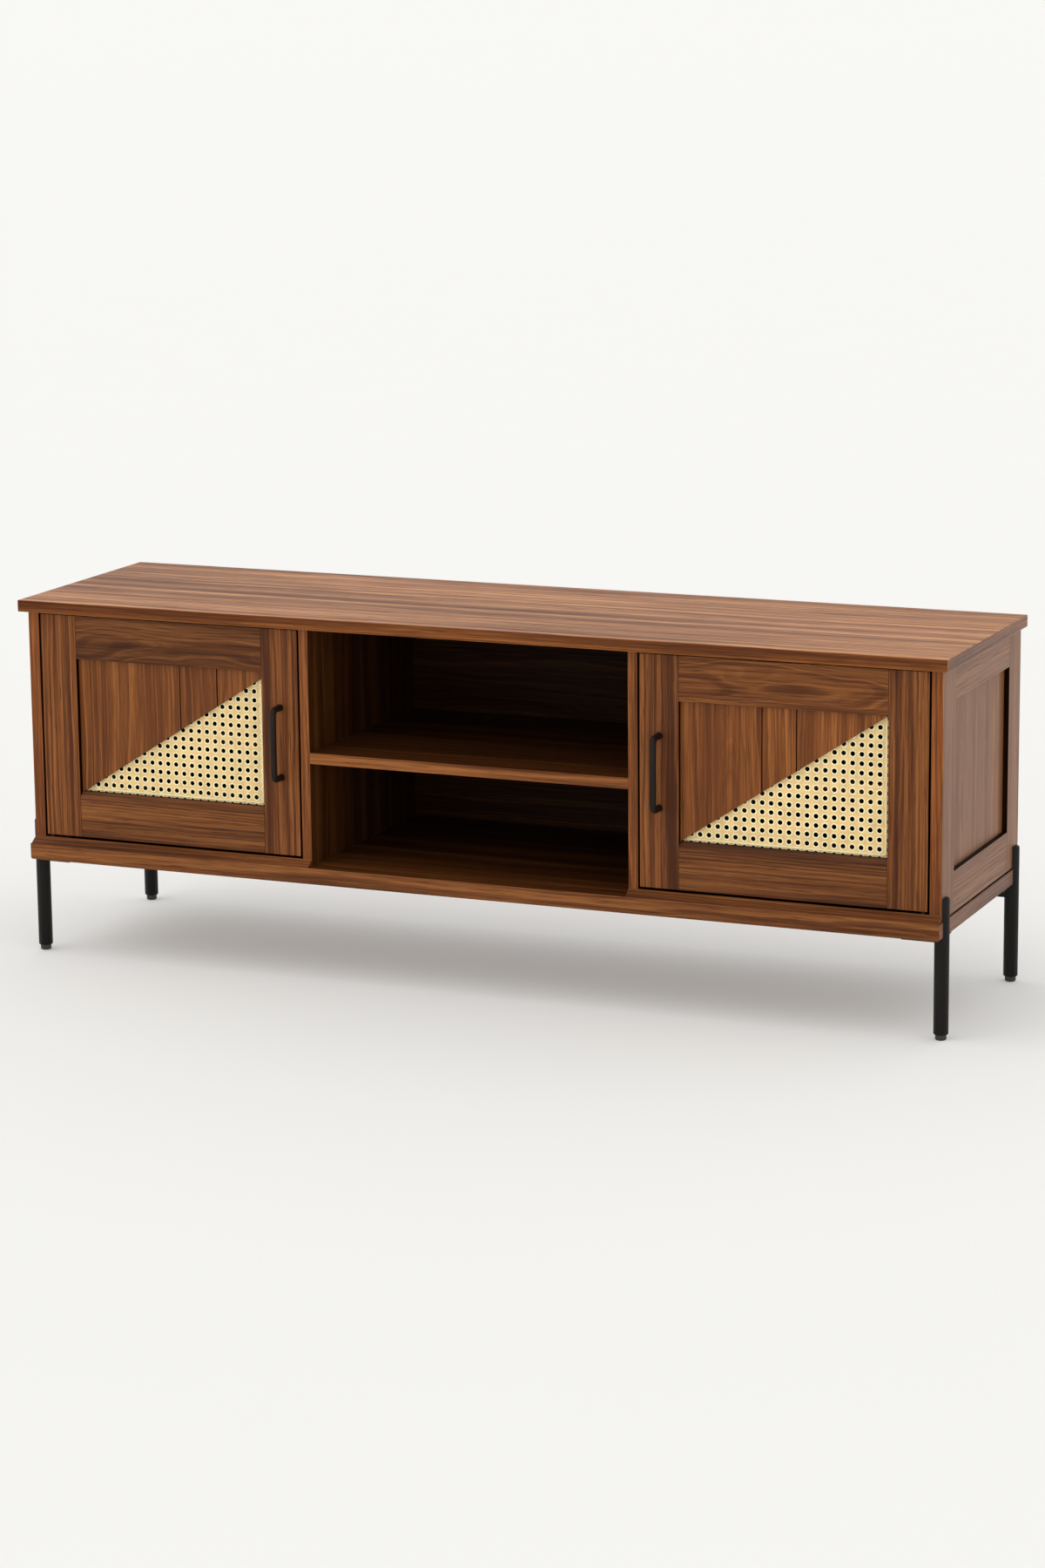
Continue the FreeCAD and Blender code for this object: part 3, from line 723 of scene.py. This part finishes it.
class CABINET_OT_top(bpy.types.Operator):
    """Makes the long top with its eased edges"""

    bl_idname = "cabinet.top"
    bl_label = "Top"

    def execute(self, context):
        # Painted light: the upper face takes a far lighter, yellower copy of the walnut than the
        # front edge and the ends, standing in for the light and sheen that fall on it. The underside
        # takes painted shade.
        heart = (0.3, 0.37, -0.62)
        paint = walnut("top_walnut", ALONG_X, heart, 0.03, 2.25, TOP_GLOSS, gold=0.12)
        edges = walnut("top_edge_walnut", ALONG_X, (0.9, 0.44, -0.30), 0.010, 1.40, EDGE_GLOSS)
        heart = (0.3, 0.70, -0.78)
        ends = walnut("top_end_walnut", ALONG_Y, heart, 0.012, 1.0, END_GLOSS, soft=0.2)
        others = (
            (edges, lambda face: abs(face.normal.y) > SQUARE_ON),
            (ends, lambda face: abs(face.normal.x) > SQUARE_ON),
            (inside_walnut(ALONG_X), lambda face: face.normal.z < -SQUARE_ON),
        )
        board("top_panel", "case", paint, context.scene.cabinet_wood.top_ease, 3, others)
        return {"FINISHED"}


class CABINET_OT_base(bpy.types.Operator):
    """Makes the base board and the bevelled strips under the doors"""

    bl_idname = "cabinet.base"
    bl_label = "Base and sills"

    def execute(self, context):
        heart = (1.3, 0.70, -0.28)
        ends = walnut("base_end_walnut", ALONG_Y, heart, 0.012, 1.0, END_GLOSS, soft=0.2)
        paint = walnut("base_walnut", ALONG_X, (1.1, 0.05, -0.26), 0.02)
        # Painted shade: the upper and lower faces take the darkened walnut of the inside.
        others = (
            (ends, lambda face: abs(face.normal.x) > SQUARE_ON),
            (inside_walnut(ALONG_X), lambda face: abs(face.normal.z) > SQUARE_ON),
        )
        board("base_board", "case", paint, others=others)
        for i, (name, _) in enumerate(SIDES):
            paint = walnut(f"{name}_sill_walnut", ALONG_X, (1.4 + i, 0.09, -0.27), 0.02)
            # Painted shade: the top face, in the gap under the door, is darkened nearly to black.
            others = ((gap_walnut(ALONG_X), lambda face: face.normal.z > SQUARE_ON),)
            board(f"{name}_sill", "case", paint, others=others)
        return {"FINISHED"}


class CABINET_OT_ends(bpy.types.Operator):
    """Makes the framed ends: stiles, rails and the panel between them"""

    bl_idname = "cabinet.ends"
    bl_label = "Framed ends"

    def execute(self, context):
        door_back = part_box("left_door_latch_stile")[1].y
        near_back = 0.2
        for name, side in SIDES:
            drift = 0.37 * (side + 2)
            out = side * 0.80

            def edge(face):
                outer = face.normal.y > MOSTLY and face.center.y > near_back
                return side * face.normal.x < MOSTLY and not outer

            def inner(face):
                return side * face.normal.x < -SQUARE_ON and face.center.y > door_back

            def facing(face):
                return face.normal.y < -SQUARE_ON and face.center.y < door_back

            for member, turn, heart, wave in (
                ("front_stile", ALONG_Z, (drift, 0.30, out), 0.012),
                ("back_stile", ALONG_Z, (drift + 0.9, -0.29, out), 0.012),
                ("top_rail", ALONG_Y, (drift + 0.4, out, -0.36), 0.016),
                ("bottom_rail", ALONG_Y, (drift + 0.6, out, -0.12), 0.016),
                ("panel", ALONG_Z, (drift + 1.5, 0.06, out), 0.02),
            ):
                node = f"{name}_end_{member}"
                paint = walnut(
                    f"{node}_walnut", turn, heart, wave, 1.20, FRAME_END_GLOSS, soft=0.5, gold=0.1
                )
                # The face that shows at the front takes a lighter copy of the same walnut than the
                # sides, in the tone of the doors beside it: painted light.
                front = walnut(f"{node}_front_walnut", turn, heart, wave, 2.0)
                # Painted shade: the faces in the gaps are darkened nearly to black, the inner faces
                # darkened towards the back.
                others = (
                    (gap_walnut(turn), edge),
                    (inside_walnut(turn), inner),
                    (front, facing),
                )
                board(node, "case", paint, others=others, cut_y=door_back)
        return {"FINISHED"}


class CABINET_OT_inside(bpy.types.Operator):
    """Makes the dividers, the middle shelf, the shelves behind the doors and the back"""

    bl_idname = "cabinet.inside"
    bl_label = "Dividers, shelves and back"

    def execute(self, context):
        door_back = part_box("left_door_latch_stile")[1].y

        def hidden(face):
            return face.normal.y > -SLIGHTLY

        def in_gap(face):
            out = 1 if face.center.x > 0 else -1
            return out * face.normal.x > SQUARE_ON and face.center.y < door_back

        for i, (name, side) in enumerate(SIDES):
            heart = (0.2 + i, 0.32, side * 0.31)
            paint = walnut(f"{name}_divider_walnut", ALONG_Z, heart, 0.014, 1.5)
            # Painted shade: faces that look away from the front are darkened, and the faces in the
            # gaps beside the doors are darkened nearly to black.
            others = ((inside_walnut(ALONG_Z), hidden), (gap_walnut(ALONG_Z), in_gap))
            board(f"{name}_divider", "case", paint, others=others, cut_y=door_back)
            paint = walnut(f"{name}_shelf_walnut", ALONG_X, (2.0 + i, 0.1, -0.44), 0.03, 0.8)
            board(f"{name}_inner_shelf", "case", paint)
        paint = walnut("shelf_walnut", ALONG_X, (0.15, 0.34, -0.45), 0.012, 1.2)
        # Painted shade: faces that look away from the front are darkened.
        board("middle_shelf", "case", paint, others=((inside_walnut(ALONG_X), hidden),))
        back = merged_copy("back_panel", "back_panel_board")
        ease(back, context.scene.cabinet_wood.ease)
        # Painted shade: the face that looks into the case is walnut darkened nearly to black.
        paint = walnut("back_walnut", ALONG_X, (0.4, -0.33, -0.33), 0.05, 0.13, DULL_GLOSS)
        finish_piece(back, "case", "back_panel", paint)
        outer = walnut("back_outer_walnut", ALONG_X, (0.4, 0.25, -0.33), 0.04, 0.7)
        paint_faces(back, outer, looks_back)
        return {"FINISHED"}


class CABINET_OT_door_frames(bpy.types.Operator):
    """Makes the stiles and rails of both doors"""

    bl_idname = "cabinet.door_frames"
    bl_label = "Door frames"

    def execute(self, context):
        for name, side in SIDES:
            drift = 0.53 * (side + 2)
            for member, turn, heart, wave, gain in (
                ("latch_stile", ALONG_Z, (drift + 0.2, 0.26, side * 0.36), 0.012, 1.20 - 0.08 * side),
                ("hinge_stile", ALONG_Z, (drift + 0.8, 0.25, side * 0.62), 0.012, 1.16 - 0.10 * side),
                ("top_rail", ALONG_X, (drift + 0.35, 0.235, -0.50), 0.045, 0.95 + 0.13 * side),
                ("bottom_rail", ALONG_X, (drift + 0.65, 0.25, -0.14), 0.012, 0.90 - 0.03 * side),
            ):
                node = f"{name}_door_{member}"
                paint = walnut(f"{node}_walnut", turn, heart, wave, gain)
                # Painted shade: the narrow edges are darkened nearly to black and the backs darkened.
                others = (
                    (gap_walnut(turn), lambda face: face.normal.y > -MOSTLY),
                    (inside_walnut(turn), lambda face: face.normal.y > MOSTLY),
                )
                board(node, f"{name}_door", paint, DOOR_EASE, others=others)
        return {"FINISHED"}


class CABINET_OT_door_panels(bpy.types.Operator):
    """Makes the grooved wood panels and the backers behind the cane"""

    bl_idname = "cabinet.door_panels"
    bl_label = "Door panels"

    def execute(self, context):
        for name, side in SIDES:
            body = f"{name}_door"
            node = f"{name}_door_wood_panel"
            heart = (0.9 * (side + 2), 0.24, side * 0.42)
            paint = walnut(f"{node}_walnut", ALONG_Z, heart, 0.030, 1.38 + 0.06 * side, soft=0.22)
            # One slope of each groove, the one that looks right, is darkened nearly to black as
            # painted shade.
            groove = ((gap_walnut(ALONG_Z), lambda face: SLIGHTLY < face.normal.x < 0.95),)
            board(node, body, paint, others=groove)
            node = f"{name}_door_backer"
            backer = merged_copy(node, f"{node}_board")
            ease(backer, context.scene.cabinet_wood.ease)
            # Painted near black towards the cane, as the shade seen through the holes; plain walnut
            # towards the cupboard.
            finish_piece(backer, body, node, backer_shade_paint())
            heart = (1.1 * (side + 2), 0.3, 0.5 * side)
            plain = walnut(f"{name}_backer_walnut", ALONG_Z, heart, 0.02, 0.7)
            paint_faces(backer, plain, looks_back)
        return {"FINISHED"}


# ---------------------------------------------------------------- cane


def cane_cell(name, cane):
    """One square of the sheet with its hole and raised ring, lying flat with its front up."""
    deselect()
    bpy.ops.mesh.primitive_plane_add(size=cane.pitch)
    cell = bpy.context.object
    cell.name = name
    bpy.ops.object.mode_set(mode="EDIT")
    bpy.ops.mesh.subdivide(number_cuts=2)
    bpy.ops.mesh.select_mode(type="VERT")
    half = cane.pitch / 2 - HERE
    pick(cell, "verts", lambda v: max(abs(v.co.x), abs(v.co.y)) < half)
    bpy.ops.mesh.delete(type="VERT")
    bpy.ops.mesh.select_mode(type="EDGE")
    bpy.ops.mesh.select_all(action="DESELECT")
    half_step = math.pi / RING_SIDES
    bpy.ops.mesh.primitive_circle_add(
        vertices=RING_SIDES, radius=cane.ring, rotation=(0, 0, half_step)
    )
    bpy.ops.mesh.select_all(action="SELECT")
    bpy.ops.mesh.bridge_edge_loops()
    for share_in, share_up in RING_STEPS:
        pick(cell, "edges", lambda e: e.is_boundary and e.verts[0].co.xy.length < half)
        mesh = bmesh.from_edit_mesh(cell.data)
        rim = next(v for v in mesh.verts if v.select)
        grow = (cane.ring - share_in * (cane.ring - cane.hole)) / rim.co.xy.length
        lift = share_up * cane.ring_rise - rim.co.z
        bpy.ops.mesh.extrude_edges_move(TRANSFORM_OT_translate={"value": (0, 0, lift)})
        bpy.ops.transform.resize(value=(grow, grow, 1), center_override=(0, 0, 0))
    bpy.ops.object.mode_set(mode="OBJECT")
    return cell


def repeat(piece, count, step):
    """Copies a piece in a row, merged where the copies meet."""
    focus(piece)
    row = piece.modifiers.new("row", "ARRAY")
    row.count = count
    row.use_relative_offset = False
    row.use_constant_offset = True
    row.constant_offset_displace = step
    row.use_merge_vertices = True
    row.merge_threshold = WELD
    bpy.ops.object.modifier_apply(modifier=row.name)


def trim(piece, point, normal):
    """Cuts away everything on the side a plane's normal points to."""
    edit(piece, "FACE")
    bpy.ops.mesh.select_all(action="SELECT")
    bpy.ops.mesh.bisect(plane_co=point, plane_no=normal, clear_outer=True, threshold=CUT)
    deselect()


def edge_strips(name, width, left, right, base, head, front):
    """The two thin strips laid over the sheet along its lower and right edges."""
    slope = (head - base) / (right - left)
    strips = []
    upright_x = right - STRIP_IN[name]
    strip_z = base + STRIP_UP
    for low, high in (
        ((left + STRIP_START, strip_z), (upright_x + width, strip_z + width)),
        ((upright_x, strip_z), (upright_x + width, base + slope * (upright_x - left))),
    ):
        deselect()
        middle = ((low[0] + high[0]) / 2, front - STRIP_PROUD, (low[1] + high[1]) / 2)
        bpy.ops.mesh.primitive_cube_add(size=1.0, location=middle)
        strip = bpy.context.object
        strip.scale = (high[0] - low[0], STRIP_THICK, high[1] - low[1])
        settle(strip)
        edit(strip)
        pick(strip, "edges", lambda e: max(v.co.y for v in e.verts) < front)
        bpy.ops.mesh.bevel(offset=STRIP_EASE, segments=2, affect="EDGES")
        deselect()
        strips.append(strip)
    return strips


class CABINET_OT_cane(bpy.types.Operator):
    """Makes the cane sheets with their ringed holes and pale edge strips"""

    bl_idname = "cabinet.cane"
    bl_label = "Cane sheets"

    def execute(self, context):
        cane = context.scene.cabinet_cane
        binding = cane_paint("cane_binding", tuple(cane.binding), 0.16)
        ground = cane_paint("cane_ground", tuple(cane.ground), 0.26)
        for name, _ in SIDES:
            from_right, from_low, start_in, end_drop = CANE_LAYOUT[name]
            node = f"{name}_door_cane"
            low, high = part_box(node)
            rails = [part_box(f"{name}_door_{part}_rail") for part in ("top", "bottom")]
            left, right = rails[0][0].x, rails[0][1].x
            base, head = rails[1][1].z, rails[0][0].z
            # The diagonal that parts the cane from the wood.
            start = left + start_in
            end = head - end_drop
            cell = cane_cell(f"{name}_door_cane_sheet", cane)
            columns = int((right - left) / cane.pitch) + 3
            rows = int((head - base) / cane.pitch) + 3
            repeat(cell, columns, (cane.pitch, 0, 0))
            repeat(cell, rows, (0, cane.pitch, 0))

            def on_ring(face):
                half = cane.pitch / 2
                dx = (face.center.x + half) % cane.pitch - half
                dy = (face.center.y + half) % cane.pitch - half
                return math.hypot(dx, dy) < cane.ring - 2 * HERE

            cell.data.materials.append(ground)
            paint_faces(cell, binding, on_ring)
            # The sheet is stood up, its front towards -Y, with its columns and rows in place.
            last = right + (2 - from_right) * cane.pitch
            start_x = last - (columns - 1) * cane.pitch
            start_z = base + (from_low - 1) * cane.pitch
            sheet_y = low.y + cane.ring_rise
            stand_up = Matrix.Rotation(math.radians(90), 4, "X")
            cell.matrix_world = Matrix.Translation((start_x, sheet_y, start_z)) @ stand_up
            settle(cell)
            run = Vector((right - start, 0, end - base)).normalized()
            above = Vector((-run.z, 0, run.x))
            trim(cell, Vector((start, 0, base)) + above * CANE_TUCK, above)
            trim(cell, (low.x + HERE, 0, 0), (-1, 0, 0))
            trim(cell, (high.x - HERE, 0, 0), (1, 0, 0))
            trim(cell, (0, 0, low.z + HERE), (0, 0, -1))
            wall = cell.modifiers.new("thickness", "SOLIDIFY")
            wall.thickness = cane.thick
            wall.offset = -1.0
            focus(cell)
            bpy.ops.object.modifier_apply(modifier=wall.name)
            for strip in edge_strips(name, cane.strip, start, right, base, end, low.y):
                strip.data.materials.append(ground)
                paint_faces(strip, binding, lambda face: True)
                strip.select_set(True)
            cell.select_set(True)
            bpy.context.view_layer.objects.active = cell
            bpy.ops.object.join()
            finish_piece(cell, f"{name}_door", node, smooth=40)
        return {"FINISHED"}


# ---------------------------------------------------------------- metal and plastic


class CABINET_OT_legs(bpy.types.Operator):
    """Makes the four tube legs, their feet and the tube between the back legs"""

    bl_idname = "cabinet.legs"
    bl_label = "Legs and feet"

    def execute(self, context):
        metal = context.scene.cabinet_metal
        coat = coat_paint("leg_coat", tuple(metal.leg), 1400.0, 0.46)
        plastic = coat_paint("glide_plastic", (0.006, 0.006, 0.006), 700.0, 0.6)
        for place in ("front", "back"):
            for name, side in SIDES:
                node = f"{place}_{name}_leg"
                piece = merged_copy(node, f"{node}_steel")
                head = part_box(node)[1].z
                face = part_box(f"{name}_end_front_stile")[0 if side < 0 else 1].x

                def rim(edge):
                    ends = [v.co for v in edge.verts]
                    top = all(abs(c.z - head) < HERE for c in ends)
                    return top and not all(abs(c.x - face) < HERE for c in ends)

                edit(piece)
                pick(piece, "edges", rim)
                bpy.ops.mesh.bevel(
                    offset=TONGUE_EASE, segments=4, affect="EDGES", clamp_overlap=False
                )
                finish_piece(piece, "case", node, coat, smooth=32)
        stretcher = merged_copy("rear_stretcher", "rear_stretcher_steel")
        ease(stretcher, STRETCHER_EASE, 3)
        finish_piece(stretcher, "case", "rear_stretcher", coat)
        feet = merged_copy("leg_glides", "leg_glides_plastic")
        finish_piece(feet, "case", "leg_glides", plastic, smooth=32)
        return {"FINISHED"}


def draw_out(steps):
    """Draws the chosen end out along Y in steps, each a run and a growth."""
    for run, grow in steps:
        bpy.ops.mesh.extrude_region_move(TRANSFORM_OT_translate={"value": (0, run, 0)})
        bpy.ops.transform.resize(value=(grow, 1, grow))


def bend_round(middle):
    """Bends the chosen end a quarter turn about a line along X."""
    bpy.ops.mesh.spin(steps=BEND_STEPS, angle=math.radians(90), center=middle, axis=(1, 0, 0))


class CABINET_OT_handles(bpy.types.Operator):
    """Makes the round-bar handles"""

    bl_idname = "cabinet.handles"
    bl_label = "Handles"

    def execute(self, context):
        coat = coat_paint("handle_coat", tuple(context.scene.cabinet_metal.handle), 1600.0, 0.40)
        for name, _ in SIDES:
            node = f"{name}_door_handle"
            low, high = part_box(node)
            radius = (high.x - low.x) / 2
            middle = (low.x + high.x) / 2
            bend = 2 * radius
            deselect()
            bpy.ops.mesh.primitive_circle_add(
                vertices=BAR_SIDES,
                radius=radius,
                location=(middle, high.y, low.z + radius),
                rotation=(math.radians(90), 0, 0),
            )
            bar = bpy.context.object
            bar.name = f"{name}_door_handle_bar"
            settle(bar)
            edit(bar)
            bpy.ops.mesh.select_all(action="SELECT")
            bpy.ops.mesh.edge_face_add()
            # A collar against the door, a post, the grip between two bends, a post, a collar.
            straight = (high.y - low.y) - radius - bend
            post = straight - COLLAR_LONG
            bend_y = high.y - straight
            bpy.ops.transform.resize(value=(COLLAR_GROW, 1, COLLAR_GROW))
            draw_out(((-COLLAR_LONG, 1.0), (0.0, 1 / COLLAR_GROW), (-post, 1.0)))
            bend_round((middle, bend_y, low.z + radius + bend))
            grip = (high.z - low.z) - 2 * radius - 2 * bend
            bpy.ops.mesh.extrude_region_move(TRANSFORM_OT_translate={"value": (0, 0, grip)})
            bend_round((middle, bend_y, high.z - radius - bend))
            draw_out(((post, 1.0), (0.0, COLLAR_GROW), (COLLAR_LONG, 1.0)))
            bpy.ops.mesh.select_all(action="SELECT")
            bpy.ops.mesh.normals_make_consistent(inside=False)
            finish_piece(bar, f"{name}_door", node, coat, smooth=40)
        return {"FINISHED"}


def paint_node(node, paint):
    """Puts a material on a frame node that keeps its own shape."""
    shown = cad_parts[node]
    for slot in shown.material_slots:
        slot.material = paint
    if not shown.material_slots:
        shown.data.materials.append(paint)


class CABINET_OT_fittings(bpy.types.Operator):
    """Finishes the hinges, catches, screws, pins and dowels"""

    bl_idname = "cabinet.fittings"
    bl_label = "Hinges, catches and fixings"

    def execute(self, context):
        zinc = zinc_paint()
        plastic = coat_paint("catch_plastic", (0.055, 0.034, 0.022), 700.0, 0.55)
        coat = coat_paint("leg_coat", tuple(context.scene.cabinet_metal.leg), 1400.0, 0.46)
        for name, _ in SIDES:
            paint_node(f"{name}_case_pivots", coat)
            paint_node(f"{name}_door_hinge_leaves", coat)
            paint_node(f"{name}_door_hinge_screws", zinc)
            paint_node(f"{name}_door_handle_screws", zinc)
            paint_node(f"{name}_door_strike_plate", zinc)
            paint_node(f"{name}_catch", plastic)
        for node in ("leg_screws", "case_hinge_screws", "back_panel_screws", "shelf_pins"):
            paint_node(node, zinc)
        paint_node("case_dowels", pale_wood_paint())
        return {"FINISHED"}


# ---------------------------------------------------------------- stage


class CABINET_OT_stage(bpy.types.Operator):
    """Lays the pale floor and sets the lights and the camera"""

    bl_idname = "cabinet.stage"
    bl_label = "Stage"

    def execute(self, context):
        scene = context.scene
        stage = scene.cabinet_stage
        deselect()
        bpy.ops.mesh.primitive_grid_add(x_subdivisions=8, y_subdivisions=8, size=240.0)
        floor = bpy.context.object
        floor.name = "studio_floor"
        rgb = tuple(stage.floor)
        paint, s, shader = new_material("studio_floor", rgb)
        mottle = s.noise(object_place(s), 3.0, 2.0, 0.5)
        pale = tuple(min(1.0, 1.01 * c) for c in rgb)
        s.plug(shader.inputs["Base Color"], s.mix(mottle, (*rgb, 1.0), (*pale, 1.0)))
        shader.inputs["Roughness"].default_value = 0.9
        shader.inputs["Specular IOR Level"].default_value = FLOOR_GLOSS
        shader.inputs["Emission Color"].default_value = (1.0, 0.915, 0.86, 1.0)
        shader.inputs["Emission Strength"].default_value = stage.glow
        floor.data.materials.append(paint)

        world = bpy.data.worlds.new("studio")
        world.use_nodes = True
        air = Shade(world.node_tree)
        sky = world.node_tree.nodes["Background"]
        sky.inputs["Color"].default_value = (1.0, 0.995, 0.985, 1.0)
        split = air.add("ShaderNodeSeparateXYZ")
        air.plug(split.inputs["Vector"], air.add("ShaderNodeTexCoord").outputs["Generated"])
        strength = air.spread(split.outputs["Z"], 0.0, 0.5, stage.horizon, stage.zenith)
        air.plug(sky.inputs["Strength"], strength)
        scene.world = world

        bpy.ops.object.light_add(type="SUN", location=(-1.5, -2.0, 4.0))
        key = bpy.context.object
        key.name = "soft_key"
        key.data.energy = stage.key
        key.data.angle = stage.key_spread
        key.data.color = (1.0, 0.985, 0.96)
        key.rotation_euler = Vector((0.42, 0.30, -1.0)).to_track_quat("-Z", "Y").to_euler()

        bpy.ops.object.camera_add(
            location=CAMERA_PLACE,
            rotation=[math.radians(turn) for turn in CAMERA_TURN],
        )
        camera = bpy.context.object
        camera.name = "studio_camera"
        camera.data.sensor_fit = "AUTO"
        camera.data.sensor_width = 36.0
        camera.data.lens = CAMERA_LENS
        camera.data.dof.use_dof = False
        camera.data.clip_end = 400.0
        scene.camera = camera
        scene.view_settings.view_transform = "Standard"
        scene.view_settings.look = "None"
        scene.view_settings.exposure = 0.0
        scene.view_settings.gamma = 1.0
        deselect()
        return {"FINISHED"}


OPERATORS = (
    CABINET_OT_top,
    CABINET_OT_base,
    CABINET_OT_ends,
    CABINET_OT_inside,
    CABINET_OT_door_frames,
    CABINET_OT_door_panels,
    CABINET_OT_cane,
    CABINET_OT_legs,
    CABINET_OT_handles,
    CABINET_OT_fittings,
    CABINET_OT_stage,
)


class CABINET_PT_panel(bpy.types.Panel):
    """Lists the pieces of the cabinet in the order they are made"""

    bl_idname = "CABINET_PT_panel"
    bl_label = "Cabinet"
    bl_space_type = "VIEW_3D"
    bl_region_type = "UI"
    bl_category = "Cabinet"

    def draw(self, context):
        layout = self.layout
        for group in GROUPS:
            settings = getattr(context.scene, group)
            column = layout.column(align=True)
            for field in settings.__annotations__:
                column.prop(settings, field)
        column = layout.column(align=True)
        for operator in OPERATORS:
            column.operator(operator.bl_idname)


GROUPS = {
    "cabinet_wood": CabinetWood,
    "cabinet_cane": CabinetCane,
    "cabinet_metal": CabinetMetal,
    "cabinet_stage": CabinetStage,
}


def register():
    """Makes the settings, the operators and the panel known to Blender."""
    for name, group in GROUPS.items():
        bpy.utils.register_class(group)
        setattr(bpy.types.Scene, name, bpy.props.PointerProperty(type=group))
    for operator in OPERATORS:
        bpy.utils.register_class(operator)
    bpy.utils.register_class(CABINET_PT_panel)


def unregister():
    """Takes them out again."""
    bpy.utils.unregister_class(CABINET_PT_panel)
    for operator in reversed(OPERATORS):
        bpy.utils.unregister_class(operator)
    for name, group in reversed(GROUPS.items()):
        delattr(bpy.types.Scene, name)
        bpy.utils.unregister_class(group)


def main():
    """Makes the cabinet."""
    register()
    bpy.ops.cabinet.top()
    bpy.ops.cabinet.base()
    bpy.ops.cabinet.ends()
    bpy.ops.cabinet.inside()
    bpy.ops.cabinet.door_frames()
    bpy.ops.cabinet.door_panels()
    bpy.ops.cabinet.cane()
    bpy.ops.cabinet.legs()
    bpy.ops.cabinet.handles()
    bpy.ops.cabinet.fittings()
    bpy.ops.cabinet.stage()


if __name__ == "__main__":
    main()
